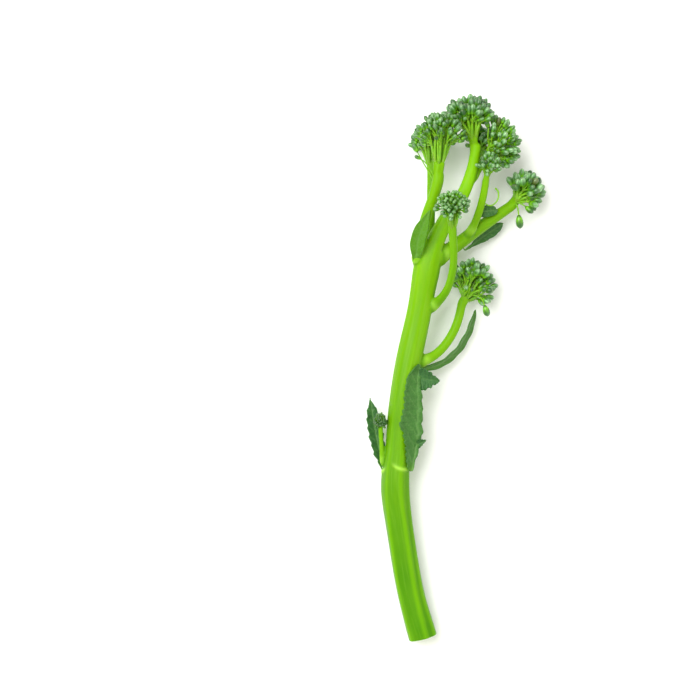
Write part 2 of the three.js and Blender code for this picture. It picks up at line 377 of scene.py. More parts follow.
def stalk_tree():
    """Geometry nodes that turn runs of edges into round stalks as thick as their girth attribute."""
    tree, given = new_tree(
        "round stalks", (("Sides", "Int", 8), ("Girth", "Float", 1.0), ("Material", "Material", None)))
    scale = add_node(
        tree, "ShaderNodeMath", {0: stored(tree, "girth"), 1: given["Girth"]}, operation="MULTIPLY")
    runs = add_node(tree, "GeometryNodeMeshToCurve", {"Mesh": given["Geometry"]})
    ring = add_node(tree, "GeometryNodeCurvePrimitiveCircle", {"Resolution": given["Sides"], "Radius": 1.0})
    tubes = add_node(tree, "GeometryNodeCurveToMesh", {
        "Curve": runs, "Profile Curve": ring, "Scale": scale, "Fill Caps": True})
    return finish_tree(tree, tubes, given["Material"])


def bud_tree():
    """Geometry nodes that set a bud on every point, turned along its axis and sized to fit."""
    tree, given = new_tree("buds on stalks", (
        ("Bud", "Object", None), ("Size", "Float", 1.0), ("Seed", "Int", 1), ("Material", "Material", None)))
    bud = add_node(tree, "GeometryNodeObjectInfo", {"Object": given["Bud"], "As Instance": True})
    # A random value's sockets share their names, so its float maximum and float output go by number.
    spin = add_node(
        tree, "FunctionNodeRandomValue", {3: 2 * math.pi, "Seed": given["Seed"]}, data_type="FLOAT")
    turn = add_node(
        tree, "FunctionNodeAxisAngleToRotation", {"Axis": (0.0, 0.0, 1.0), "Angle": spin.outputs[1]})
    aim = add_node(
        tree, "FunctionNodeAlignRotationToVector", {"Vector": stored(tree, "axis", "FLOAT_VECTOR")}, axis="Z")
    both = add_node(
        tree, "FunctionNodeRotateRotation", {"Rotation": aim, "Rotate By": turn}, rotation_space="LOCAL")
    width = stored(tree, "width")
    size = add_node(tree, "ShaderNodeCombineXYZ", {"X": width, "Y": width, "Z": stored(tree, "length")})
    sized = add_node(tree, "ShaderNodeVectorMath", {0: size, "Scale": given["Size"]}, operation="SCALE")
    placed = add_node(tree, "GeometryNodeInstanceOnPoints", {
        "Points": given["Geometry"], "Instance": bud.outputs["Geometry"], "Rotation": both, "Scale": sized})
    return finish_tree(tree, placed, given["Material"])


def runs_mesh(lines, tones=None):
    """A mesh of separate runs of edges, one for each line, with the girth and tone at each point."""
    points, edges, girths, tone_values = [], [], [], []
    for number, line in enumerate(lines):
        start, count = len(points), len(line.points)
        points.extend(line.points.tolist())
        edges.extend((start + i, start + i + 1) for i in range(count - 1))
        girths.extend(line.radii.tolist())
        low, high = tones[number] if tones else (0.0, 0.0)
        tone_values.extend(np.linspace(low, high, count).tolist())
    mesh = bpy.data.meshes.new("runs")
    mesh.from_pydata(points, edges, [])
    set_values(mesh, "girth", girths)
    set_values(mesh, "tone", tone_values)
    return mesh


# ------------------------------------------------------------------------ materials
# A pattern's scale is its number of cells in a metre.

PLANT_IOR = 1.42
WET_IOR = 1.38
CARD_IOR = 1.5


def new_material(name):
    material = bpy.data.materials.new(name)
    material.use_nodes = True
    material.node_tree.nodes.clear()
    return material, material.node_tree


def finish_material(tree, colour, roughness, normal=None, ior=PLANT_IOR, gloss=0.5,
                    glow=0.0, reach=(1.0, 1.0, 1.0), depth=1.0 * MM):
    """Ends a material in its shader. Light gets under the skin by glow, as far as depth times reach."""
    inputs = {
        "Base Color": colour, "Roughness": roughness, "IOR": ior, "Specular IOR Level": gloss,
        "Subsurface Weight": glow, "Subsurface Radius": reach, "Subsurface Scale": depth}
    if normal:
        inputs["Normal"] = normal
    shader = add_node(tree, "ShaderNodeBsdfPrincipled", inputs)
    add_node(tree, "ShaderNodeOutputMaterial", {"Surface": shader})


def object_place(tree):
    return add_node(tree, "ShaderNodeTexCoord").outputs["Object"]


def attribute(tree, name, output="Fac"):
    return add_node(tree, "ShaderNodeAttribute", attribute_name=name).outputs[output]


def maths(tree, operation, *values):
    return add_node(tree, "ShaderNodeMath", dict(enumerate(values)), operation=operation)


def noise(tree, place, scale, detail=2.0, roughness=0.5):
    return add_node(tree, "ShaderNodeTexNoise", {
        "Vector": place, "Scale": scale, "Detail": detail, "Roughness": roughness})


def carried(tree, value, start, end, low=0.0, high=1.0):
    """A value that goes from start to end, carried over to the range from low to high."""
    return add_node(tree, "ShaderNodeMapRange", {
        "Value": value, "From Min": start, "From Max": end, "To Min": low, "To Max": high})


def relief(tree, height, strength, depth):
    """Fine bumps, given their height pattern and how deep they can be."""
    return add_node(tree, "ShaderNodeBump", {"Height": height, "Strength": strength, "Distance": depth})


def layered(tree, colour, *layers):
    """A colour under layers of (mask, colour)."""
    for mask, over in layers:
        node = add_node(tree, "ShaderNodeMix", {"Factor": mask, 6: colour, 7: over}, data_type="RGBA")
        colour = node.outputs[2]
    return colour


def waxy_stem_skin(settings):
    """Living skin under a thin wax: bright, slightly see-through, with fine fibres that run lengthwise."""
    material, tree = new_material("waxy_stem_skin")
    place = attribute(tree, "skin_place", "Vector")
    # Fibre bundles are about 0.5 mm across and run for tens of millimetres.
    stretched = add_node(tree, "ShaderNodeMapping", {"Vector": place, "Scale": (1.0, 1.0, 0.04)})
    fibres = noise(tree, stretched, 900.0, detail=3.0, roughness=0.6)
    bands = noise(tree, stretched, 240.0)
    clouds = noise(tree, place, 70.0, detail=3.0)
    colour = layered(
        tree, settings.old_skin,
        (attribute(tree, "youth"), settings.young_skin),
        (carried(tree, bands, 0.4, 0.75, high=0.45), settings.deep_skin),
        (carried(tree, fibres, 0.5, 0.8, high=0.22), settings.pale_skin),
        (carried(tree, clouds, 0.4, 0.8, high=0.3), settings.young_skin),
        # painted highlight: the crests of the ribs lighter
        (attribute(tree, "painted_ridge_highlight"), settings.ridge_highlight_skin),
        # the scars at the joints: pale partly in their own colour, partly as a painted highlight
        (attribute(tree, "collar_and_highlight"), settings.pale_skin),
        # painted shade: darker in the forks between stems
        (attribute(tree, "painted_fork_shade"), settings.deep_skin))
    finish_material(
        tree, colour, carried(tree, clouds, 0.3, 0.7, low=0.34, high=0.48),
        relief(tree, fibres, 0.25, 0.12 * MM), gloss=0.14,
        glow=0.3, reach=(0.5, 1.0, 0.15), depth=0.9 * MM)
    return material


def cut_stem_face(settings, middle, radius):
    """The knife cut across the stem: wet pale pith with a ring of fibre bundles inside the green skin."""
    material, tree = new_material("cut_stem_face")
    place = object_place(tree)
    centred = add_node(tree, "ShaderNodeVectorMath", {0: place, 1: tuple(middle)}, operation="SUBTRACT")
    away = add_node(tree, "ShaderNodeVectorMath", {0: centred}, operation="LENGTH").outputs["Value"]
    grain = add_node(tree, "ShaderNodeTexVoronoi", {"Vector": place, "Scale": 1400.0})
    wobble = maths(tree, "MULTIPLY_ADD", grain, 0.12, maths(tree, "DIVIDE", away, radius))
    rings = add_node(tree, "ShaderNodeValToRGB", {"Fac": wobble}, ramp=(
        (0.0, settings.pith), (0.66, settings.pith), (0.78, settings.fibre_ring),
        (0.86, settings.pith), (0.97, settings.young_skin)))
    finish_material(
        tree, rings, 0.35, relief(tree, grain, 0.4, 0.1 * MM), ior=WET_IOR,
        glow=0.4, reach=(0.8, 1.0, 0.3), depth=1.5 * MM)
    return material


def branchlet_skin(settings):
    """The thin stalks under the buds: the youngest skin, bright yellow-green and almost see-through."""
    material, tree = new_material("branchlet_skin")
    clouds = noise(tree, object_place(tree), 300.0)
    colour = layered(
        tree, settings.branchlet,
        # the stalks darken from the buds towards the inside of the floret: partly their own colour, partly
        # painted shade
        (attribute(tree, "tone"), settings.pedicel),
        (carried(tree, clouds, 0.4, 0.75, high=0.5), settings.deep_skin))
    finish_material(tree, colour, 0.42, glow=0.4, reach=(0.5, 1.0, 0.15), depth=1.0 * MM)
    return material


def bloomed_bud_skin(settings):
    """Closed buds: blue-green sepals under a powdery bloom that is partly a painted highlight, yellow-green
    where they meet the stalk, with painted shade at their feet.
    """
    material, tree = new_material("bloomed_bud_skin")
    tip, tint = attribute(tree, "tip"), attribute(tree, "tint")
    grain = noise(tree, object_place(tree), 1500.0, detail=3.0)
    mottled = maths(tree, "MULTIPLY_ADD", grain, 0.35, tip)
    fresh = maths(tree, "MULTIPLY", attribute(tree, "young"), 0.7)
    sepal = layered(tree, settings.bud_dark, (tint, settings.bud_bloom), (fresh, settings.bud_base))
    # the pale tips are partly the real powdery bloom and partly a painted highlight
    powder_and_highlight = maths(tree, "MULTIPLY", tint, carried(tree, mottled, 0.7, 1.1))
    # painted shade: the foot of each bud darkened where it sits down among the others
    painted_crevice_shade = carried(tree, tip, 0.02, 0.22, low=0.85, high=0.0)
    colour = layered(
        tree, settings.bud_base,
        (carried(tree, mottled, 0.4, 0.88), sepal),
        (powder_and_highlight, settings.bud_powder_and_highlight),
        (painted_crevice_shade, settings.bud_seam_and_shade),
        (maths(tree, "MULTIPLY", attribute(tree, "seam"), 0.6), settings.bud_seam_and_shade),
        (carried(tree, tip, 0.9, 1.0, high=0.5), settings.bud_ripe),
        (attribute(tree, "ripe"), settings.bud_ripe))
    finish_material(
        tree, colour, 0.34, relief(tree, grain, 0.2, 0.08 * MM), gloss=0.8,
        glow=0.08, reach=(0.4, 1.0, 0.3), depth=0.3 * MM)
    return material


def waxy_leaf(settings):
    """Leaf blade: matt blue-green wax over a net of paler veins, lighter at the midrib."""
    material, tree = new_material("waxy_leaf")
    place = object_place(tree)
    mottle = noise(tree, place, 350.0, detail=4.0)
    net = add_node(
        tree, "ShaderNodeTexVoronoi", {"Vector": place, "Scale": 900.0}, feature="DISTANCE_TO_EDGE")
    colour = layered(
        tree, settings.leaf_dark,
        (mottle, settings.leaf_light),
        (attribute(tree, "pale"), settings.bract_skin),
        (carried(tree, net, 0.0, 0.1, low=0.14, high=0.0), settings.leaf_vein),
        (attribute(tree, "vein"), settings.leaf_vein))
    finish_material(
        tree, colour, 0.5, relief(tree, mottle, 0.3, 0.2 * MM), gloss=0.3,
        glow=0.2, reach=(0.4, 1.0, 0.2), depth=0.5 * MM)
    return material


def matt_white_table(settings):
    """Plain white matt board, with a faint grain of paper."""
    material, tree = new_material("matt_white_table")
    grain = noise(tree, object_place(tree), 400.0)
    colour = layered(tree, settings.table_light, (grain, settings.table_dark))
    finish_material(tree, colour, 0.9, ior=CARD_IOR)
    return material


# ------------------------------------------------------------------- the stem skin

BLOCK = 4000  # points measured against the stems at one time
FLARE = 0.35  # how much wider a side stem is at its root
FLARE_LENGTH = 1.6 * MM
TAPER = ((0.6, 0.93), (1.2, 0.75), (1.7, 0.4))  # (distance past a stem's end, girth), both in its radii
TUBE_SIDES = 32
SNUG = (1.2 * MM, 0.4 * MM)  # gaps from the stem's own surface where relief starts, and where it is full
MAIN_RIBS = 6
SIDE_RIBS = 5
RIB_WANDER = (0.15, 50)  # how far a rib strays round the stem (radians), and how fast (radians a metre)
RIB_BEAT = (0.65, 0.35, 40)  # a rib's mean strength, how much it varies, and how fast (radians a metre)
SIDE_RIB_SHARE = 0.4  # the depth of a side stem's ribs beside the main stem's
SIDE_SCAR = (math.pi, 0.5)  # half angle and sharpness of the scar where a side stem grows
LEAF_SCAR = (1.2, 1.0)  # the same where a clasping leaf grows
SIDE_SCAR_PLACE = 1.5 * MM  # how far outside the parent's skin a side stem's scar is
PARENT_SWELL = 1.05
LEAF_SCAR_PLACE = 0.8 * MM  # how far below a leaf's base its scar is
SCAR_SAG = 1.8 * MM  # how far a leaf's scar bends towards the crown at its ends
WAVE_HEIGHT = 0.08 * MM  # slow uneven waves of the main stem's surface
STEM_SPACING = 0.3  # keeps each stem's pattern apart from the others'
LOWEST_SKIN = 0.02 * MM
YOUNG_FROM = 0.75  # how far along the main stem its skin is as young as the side stems'
RIDGE_HIGHLIGHT_LOOK = 0.75  # how strongly the crests of the ribs take their painted highlight colour
# how strongly the scars take their pale colour, partly their own and partly a painted highlight
COLLAR_HIGHLIGHT_LOOK = 0.9
# Painted shade in the forks between stems: its strength, its darkest share, and the rounds that spread it.
FORK_SHADE_LOOK = 0.8
DEEPEST_FORK_SHADE = 0.55
FORK_SHADE_ROUNDS = 10


def flared(line, parent_radius):
    """A side stem widens where it leaves its parent, so that the two skins flow together."""
    outside = line.along - parent_radius
    return Line(line.points, line.radii * (1 + FLARE * np.exp(-np.maximum(outside, 0) / FLARE_LENGTH)))


def tapered(line):
    """A stem narrows past its end, so that its branchlets grow out of it smoothly."""
    heading, radius = line.headings()[-1], line.radii[-1]
    beyond = [line.points[-1] + heading * radius * step for step, _ in TAPER]
    girths = [radius * share for _, share in TAPER]
    return Line(np.vstack([line.points, beyond]), np.concatenate([line.radii, girths]))


def nearest_places(points):
    """For each point: its stem's number, how far along and round it, the way out, the radius, the gap."""
    lines = list(LINES.values())
    samples = np.vstack([line.points for line in lines])
    radii = np.concatenate([line.radii for line in lines])
    headings = np.vstack([line.headings() for line in lines])
    along = np.concatenate([line.along for line in lines])
    numbers = np.repeat(np.arange(len(lines)), [len(line.points) for line in lines])
    best = np.empty(len(points), dtype=int)
    gap = np.empty(len(points))
    for start in range(0, len(points), BLOCK):
        block = slice(start, start + BLOCK)
        gaps = np.linalg.norm(points[block][:, None] - samples[None], axis=2) - radii
        best[block] = gaps.argmin(axis=1)
        gap[block] = gaps.min(axis=1)
    heading = headings[best]
    offset = points - samples[best]
    forward = (offset * heading).sum(axis=1)
    radial = offset - forward[:, None] * heading
    side = unit(np.cross(heading, UP))
    face = np.cross(side, heading)
    angle = np.arctan2((radial * side).sum(axis=1), (radial * face).sum(axis=1))
    return numbers[best], along[best] + forward, angle, unit(radial), radii[best], gap


def angle_gap(first, second):
    return np.abs((first - second + math.pi) % (2 * math.pi) - math.pi)


def rib_relief(numbers, along, angle, radii, settings, rng):
    """Broad soft ribs that run along each stem and fade in and out, with no change in its mean girth."""
    (stray, stray_rate), (mean, swing, beat_rate) = RIB_WANDER, RIB_BEAT
    heights = np.zeros(len(along))
    for number, name in enumerate(LINES):
        chosen = numbers == number
        ribs, depth = SIDE_RIBS, settings.rib_depth * SIDE_RIB_SHARE
        if name == MAIN_STEM:
            ribs, depth = MAIN_RIBS, settings.rib_depth
        for rib in range(ribs):
            phase = 2 * math.pi * rib / ribs + rng.uniform(-0.3, 0.3)
            twist, start, beat = rng.uniform(-3, 3), rng.uniform(0, 6), rng.uniform(0, 6)
            wander = phase + twist * along[chosen] + stray * np.sin(along[chosen] * stray_rate + start)
            strength = mean + swing * np.sin(along[chosen] * beat_rate + beat)
            away = angle_gap(angle[chosen], wander) * radii[chosen]
            heights[chosen] += depth * strength * np.exp(-(away / (settings.rib_width / 2)) ** 2)
        heights[chosen] -= heights[chosen].mean()
    return heights


def scars():
    """Raised rings at the joints: (stem number, distance along, angle, half angle, sharpness)."""
    rings = []
    for number, name in enumerate(SIDE_STEMS, start=1):
        parent_radius = LINES[MAIN_STEM].radius_near(LINES[name].points[0])
        rings.append((number, parent_radius * PARENT_SWELL + SIDE_SCAR_PLACE, 0.0, *SIDE_SCAR))
    for node in CLASPING_LEAVES:
        number, distance, facing, _, _, _ = nearest_places(blade_line(node)[0][:1])
        rings.append((number[0], distance[0] - LEAF_SCAR_PLACE, facing[0], *LEAF_SCAR))
    return rings


def stem_skin_mesh(settings, florets):
    """One skin over the main stem, every side stem and the branchlets, with its ribs, scars and cut end."""
    main = LINES[MAIN_STEM]
    foot = main.points[0] - main.headings()[0] * settings.cut_spare
    lines = [Line(np.vstack([foot, main.points]), np.concatenate([[main.radii[0]], main.radii]))]
    for name in SIDE_STEMS:
        parent = LINES[PARENTS.get(name, MAIN_STEM)]
        lines.append(flared(LINES[name], parent.radius_near(LINES[name].points[0])))
    lines = [tapered(line) for line in lines]
    for floret in florets.values():
        lines.extend(floret.branchlets)
    holder = make_holder(run_tree(runs_mesh(lines), stalk_tree(), Sides=TUBE_SIDES, Girth=1.0))
    remesh = holder.modifiers.new("one skin", "REMESH")
    remesh.mode = "VOXEL"
    remesh.voxel_size = settings.skin_grain
    smooth = holder.modifiers.new("soften", "SMOOTH")
    smooth.factor = 0.5
    smooth.iterations = settings.soften
    return carve_skin(baked(holder), settings)


def carve_skin(mesh, settings):
    """Adds the ribs and scars, cuts the end square, and stores what the material reads."""
    rng = np.random.default_rng(settings.seed)
    points = vertex_places(mesh)
    numbers, along, angle, outward, radii, gap = nearest_places(points)
    on_main = numbers == 0
    snug = smoothstep(*SNUG, np.abs(gap))
    heights = rib_relief(numbers, along, angle, radii, settings, rng)
    painted_ridge_highlight = np.clip(heights / settings.rib_depth, 0, 1) * RIDGE_HIGHLIGHT_LOOK
    collar_and_highlight = np.zeros(len(points))
    for number, distance, facing, half_angle, sharpness in scars():
        around = angle_gap(angle, facing)
        bend = distance + SCAR_SAG * (around / half_angle) ** 2 * (number == 0)
        ring = np.exp(-((along - bend) / (settings.collar_width / 2 / sharpness)) ** 2)
        mark = ring * smoothstep(half_angle * 1.01, half_angle * 0.5, around) * sharpness
        collar_and_highlight = np.maximum(collar_and_highlight, np.where(numbers == number, mark, 0))
    waves = np.sin(along * 170 + angle * 2) * np.sin(along * 63 + 1.3) * WAVE_HEIGHT
    heights += settings.collar_height * collar_and_highlight + np.where(on_main, waves, 0)
    points += outward * (heights * snug)[:, None]
    points[:, 2] = np.maximum(points[:, 2], LOWEST_SKIN)
    mesh.vertices.foreach_set("co", points.ravel())
    mesh.update()
    whole = LINES[MAIN_STEM].along[-1]
    set_values(mesh, "youth", np.where(on_main, smoothstep(0.0, YOUNG_FROM, along / whole), 1.0))
    set_values(mesh, "painted_ridge_highlight", painted_ridge_highlight * snug)
    set_values(mesh, "collar_and_highlight", collar_and_highlight * snug * COLLAR_HIGHLIGHT_LOOK)
    set_values(mesh, "painted_fork_shade", painted_fork_shade_values(mesh, numbers))
    unrolled = (np.cos(angle) * radii, np.sin(angle) * radii, along + numbers * STEM_SPACING)
    set_values(mesh, "skin_place", np.column_stack(unrolled), "FLOAT_VECTOR")
    return cut_end(mesh, settings)


def painted_fork_shade_values(mesh, numbers):
    """How deep each point sits in the fork between two stems, which is how strongly painted shade darkens it.
    """
    edges = np.empty(len(mesh.edges) * 2, dtype=int)
    mesh.edges.foreach_get("vertices", edges)
    edges = edges.reshape(-1, 2)
    value = np.zeros(len(numbers))
    value[edges[numbers[edges[:, 0]] != numbers[edges[:, 1]]].ravel()] = 1.0
    for _ in range(FORK_SHADE_ROUNDS):
        spread = np.zeros(len(numbers))
        count = np.zeros(len(numbers))
        for a, b in ((0, 1), (1, 0)):
            np.add.at(spread, edges[:, a], value[edges[:, b]])
            np.add.at(count, edges[:, a], 1)
        value = 0.5 * value + 0.5 * spread / np.maximum(count, 1)
    return np.clip(value * FORK_SHADE_LOOK, 0, DEEPEST_FORK_SHADE)


def cut_end(mesh, settings):
    """Cuts the stem off square at its foot, with a slightly softened rim round a flat face."""
    main = LINES[MAIN_STEM]
    body = bmesh.new()
    body.from_mesh(mesh)
    bmesh.ops.bisect_plane(
        body, geom=body.verts[:] + body.edges[:] + body.faces[:], plane_co=Vector(main.points[0]),
        plane_no=Vector(-main.headings()[0]), clear_outer=True, clear_inner=False)
    rim = [edge for edge in body.edges if edge.is_boundary]
    filled = bmesh.ops.edgeloop_fill(body, edges=rim, mat_nr=1)["faces"]
    for _ in range(2):
        bmesh.ops.inset_region(body, faces=filled, thickness=settings.rim / 2, depth=settings.rim / 3)
    smooth_out(body)
    bmesh.ops.triangulate(body, faces=filled)
    body.to_mesh(mesh)
    body.free()
    return mesh


def smooth_out(body):
    """Turns all faces one way and shades them smooth."""
    bmesh.ops.recalc_face_normals(body, faces=body.faces)
    for face in body.faces:
        face.smooth = True


# ------------------------------------------------------------------------ florets

BRANCHLET_ROOT = 2.2 * MM  # how deep a branchlet starts inside its stem
BRANCHLET_GIRTH = (0.58, 0.72)  # at its root beside the stem's, and at its fork beside its root's
THINNEST_BRANCHLET = (0.6 * MM, 0.5 * MM)  # at its root and at its fork
CLUSTERS_PER_BRANCHLET = 3.4
CLUSTER_REACH = 0.9  # how far round the clusters go beside the buds
BRANCH_REACH = 0.65  # how far round the branchlets aim beside the buds
CLUSTER_JITTER = 0.06  # how far each direction is nudged, in radians
BRANCH_JITTER = 0.05
BUD_JITTER = 0.045
BUD_LEAN = 0.12
FORK_SHARES = (0.42, 0.58)  # where a branchlet forks, as shares of the way to its knots
KNOT_DEPTH = 0.22  # how far the clusters' knots lie behind the middle, as a share of the radius
KNOT_REACH = 0.38  # how far out they lie, as a share of the radius
INNER_SHARE = 0.5  # the buds of the inner layer beside those of the outer one
INNER_SHADE = 0.6  # how much of their bloom the inner buds lack, which paints them darker as shade
RIM = (0.35, 1.0)  # where the buds thin out, as shares of the way round
UPPER_SIDE = (0.25, 0.75)  # how far up a bud faces where the window starts, and where it is full
BETWEEN_CLUSTERS = (0.55, 0.95)  # where the gaps start, and where they are full, in clusters' radii
CLUSTER_RADIUS = 0.6  # of the clusters' spacing
YOUNG_MIDDLE = 0.45  # how much of the way round the young middle takes
YOUNG_RIM = (0.6, 1.0)
YOUNGEST_RIM = 0.55
YOUNGEST_INNER = 0.6
YOUNG_SHRINK = 0.42  # how much smaller the youngest buds are
BUD_SIZES = (0.85, 1.12)
INNER_DEPTHS = (0.5, 1.1)  # how much deeper the inner buds grow, in buds' lengths
LUMP_FALL = 2.2  # how fast a cluster falls off beside its middle
LUMP_FLOOR = -2.5
SCATTER = 0.22 * MM  # how unevenly the buds stand
RIPE_CHANCE = 0.012
RIPE_LOOK = 0.65
SHOOT_GIRTH = 0.75  # a clear-standing shoot's girth beside that of a flower stalk
BUD_SIDES = 8
BUD_PROFILE = (  # (height, half width) of a bud of unit size
    (0.0, 0.3), (0.07, 0.5), (0.2, 0.74), (0.4, 0.95), (0.6, 1.0), (0.78, 0.86), (0.91, 0.56), (0.98, 0.22))
SEPALS = 4
SEPAL_BULGE = 0.06
SEAMS_FROM = 0.3  # the height where the seams between the sepals start

# Each floret: the stem it ends, the way it faces, how far round its buds reach (degrees), the width and
# length of a bud, the spacing of buds and of their clusters, how lumpy it is, and the radius of a flower
# stalk, all in millimetres. Of the shares, open is how many buds the rim lacks, window how many the upper
# side lacks so that the stalks inside show, and gaps how many are missing between clusters. Bloom is how
# powdery the buds are, and also painted shade: a floret with less bloom has darker buds. Young is how
# immature the middle is. Shape and shift (millimetres) bend the mass away from a plain ball. A shoot is a
# thin stalk that stands clear: its way through the air in millimetres, and the size of its bud, or 0 for
# none.
PLAIN_FLORET = dict(
    open=0.5, window=0.0, gaps=0.6, bloom=1.0, young=0.0, shape=(1, 1, 1), shift=(0, 0, 0), shoots=())
FLORETS = {
    "top_floret": dict(
        stem=MAIN_STEM, facing=(-0.1, 1, 0.0), reach=104, width=2.0, length=3.8, spacing=1.85, cluster=4.6,
        lumps=0.9, stalk=0.32, open=0.45, bloom=0.8, seed=1, shape=(1.3, 1.15, 1.1), shift=(-0.3, -0.6, 0)),
    "left_crown_floret": dict(
        stem="left_crown_stem", facing=(-0.05, 1, 0.02), reach=98, width=1.6, length=2.9, spacing=1.7,
        cluster=4.8, lumps=1.1, stalk=0.27, window=0.6, young=0.3, bloom=0.7, gaps=0.8, seed=2,
        shape=(1.03, 1.1, 1.0), shoots=(
            (((-8, 61.5, 22), (-9.5, 65, 22.5), (-12, 69, 23), (-14.2, 73, 23.5)), 1.2),
            (((-8, 62.5, 22.5), (-9, 66, 23.5), (-11.5, 69.5, 24.5), (-13.4, 70.5, 25)), 0.8))),
    "far_right_floret": dict(
        stem="far_right_stem", facing=(0.65, 0.75, 0.1), reach=118, width=2.3, length=3.9, spacing=2.4,
        cluster=4.8, lumps=0.7, stalk=0.36, window=0.3, bloom=1.2, seed=3,
        shape=(1.2, 1.2, 1.1), shift=(-1.3, 0.4, 0.4), shoots=(
            (((19, 57, 9), (20.3, 56.2, 10), (20.6, 54.6, 10), (20.9, 52.6, 9.5)), 1.2),
            (((20, 57.2, 9), (22, 56.6, 10), (23.2, 55.6, 10.2)), 0.9),
            (((12.5, 61.5, 15), (13.6, 60.2, 16.5), (13.2, 57, 17), (10.8, 55.2, 16.5),
              (8.8, 56.4, 15.5)), 0))),
    "front_floret": dict(
        stem="front_stem", facing=(-0.05, 0.7, 0.8), reach=106, width=1.55, length=2.2, spacing=1.55,
        cluster=3.9, lumps=0.5, stalk=0.26, open=0.7, young=0.75, seed=4, shape=(1.05, 1.0, 1.0)),
    "side_shoot_floret": dict(
        stem="side_shoot_stem", facing=(0.45, 0.9, 0.05), reach=116, width=2.0, length=3.2, spacing=2.25,
        cluster=4.8, lumps=0.9, stalk=0.32, window=0.75, bloom=1.2, seed=5,
        shape=(1.1, 1.3, 1.0), shift=(-0.3, -1.2, 0), shoots=(
            (((5.2, 25.5, 10), (7.2, 25, 11), (8.6, 23.6, 11), (9.2, 21.8, 10.6)), 1.25),)),
    "inner_crown_floret": dict(
        stem="inner_crown_stem", facing=(0.35, 0.8, 0.5), reach=104, width=1.6, length=2.5, spacing=1.75,
        cluster=3.8, lumps=0.4, stalk=0.26, open=0.4, young=0.3, seed=6, shape=(1.3, 1.35, 1.1)),
    "right_crown_floret": dict(
        stem="right_crown_stem", facing=(0.8, 0.6, 0.15), reach=112, width=1.8, length=3.1, spacing=1.85,
        cluster=4.9, lumps=1.2, stalk=0.3, window=0.6, young=0.3, gaps=0.7, bloom=1.25, seed=7,
        shape=(1.25, 1.6, 1.2), shift=(-0.6, -2.0, 0.6)),
    "back_left_floret": dict(
        stem="back_left_stem", facing=(-0.2, 1, -0.2), reach=98, width=1.75, length=2.9, spacing=1.85,
        cluster=4.5, lumps=0.5, stalk=0.3, open=0.4, seed=8),
    "back_right_floret": dict(
        stem="back_right_stem", facing=(0.15, 1, -0.2), reach=98, width=1.75, length=2.9, spacing=1.85,
        cluster=4.5, lumps=0.5, stalk=0.3, open=0.4, seed=9),
    "bud_shoot_floret": dict(
        stem="bud_shoot_stem", facing=(0, 1, 0.3), reach=140, width=0.85, length=1.0, spacing=0.66,
        cluster=2.0, lumps=0.25, stalk=0.17, open=0.1, young=0.2, bloom=0.1, seed=10,
        shape=(1.15, 1.4, 1.15)),
}
FLORET_LENGTHS = ("width", "length", "spacing", "cluster", "lumps", "stalk", "shift")


def full_form(plain, changes, lengths):
    """Everything that shapes a floret or leaf, with its lengths turned from millimetres to metres."""
    values = {**plain, **changes}
    values.update({key: np.multiply(values[key], MM) for key in lengths})
    return SimpleNamespace(**values)


def cap_count(form, spread, spacing, share=1.0):
    """How many buds or clusters, so far apart, fit on the part of a ball that a floret reaches round."""
    area = 2 * math.pi * spread ** 2 * (1 - math.cos(form.reach))
    return max(3, round(share * area / spacing ** 2))


def cap_directions(count, reach, facing, rng, jitter):
    """Directions spread evenly over a cap round a facing, each nudged a little."""
    order = np.arange(count)
    height = 1 - (1 - math.cos(reach)) * (order + 0.5) / count
    width = np.sqrt(1 - height ** 2)
    turn = order * GOLDEN_ANGLE + rng.uniform(0, 6)
    local = np.column_stack([width * np.cos(turn), width * np.sin(turn), height])
    local += rng.normal(0, jitter, local.shape)
    side = unit(np.cross(facing, UP))
    return unit(local @ np.array([side, np.cross(facing, side), facing]))


def angle_between(aims, others):
    """The angle from each direction to the nearest of some others."""
    return np.arccos(np.clip((aims @ np.atleast_2d(others).T).max(axis=1), -1, 1))


def floret_ball(node, form):
    """The middle and the three radii of the rounded mass that a floret's buds fill, from its CAD box."""
    low, high = (np.array(corner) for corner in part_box(node))
    across = np.abs(form.facing) < 0.6
    radius = max((high - low)[across]) / 2
    middle = (low + high) / 2
    middle = np.where(form.facing > 0.25, high - radius, middle)
    middle = np.where(form.facing < -0.25, low + radius, middle)
    return middle + form.shift, radius * np.array(form.shape)


def curved(start, control, end, girths, count):
    """A bent stalk from start to end, pulled towards a control point."""
    t = np.linspace(0, 1, count)
    return Line(arc(start, control, end, t[:, None]), np.interp(t, (0, 1), girths))


def smooth_way(points, girth):
    """A thin stalk through given points, with its corners rounded twice."""
    for _ in range(2):
        near, far = points[:-1] * 0.75 + points[1:] * 0.25, points[:-1] * 0.25 + points[1:] * 0.75
        points = np.vstack([points[:1], np.stack([near, far], axis=1).reshape(-1, 3), points[-1:]])
    return Line(points, np.linspace(girth * 1.2, girth * 0.8, len(points)))


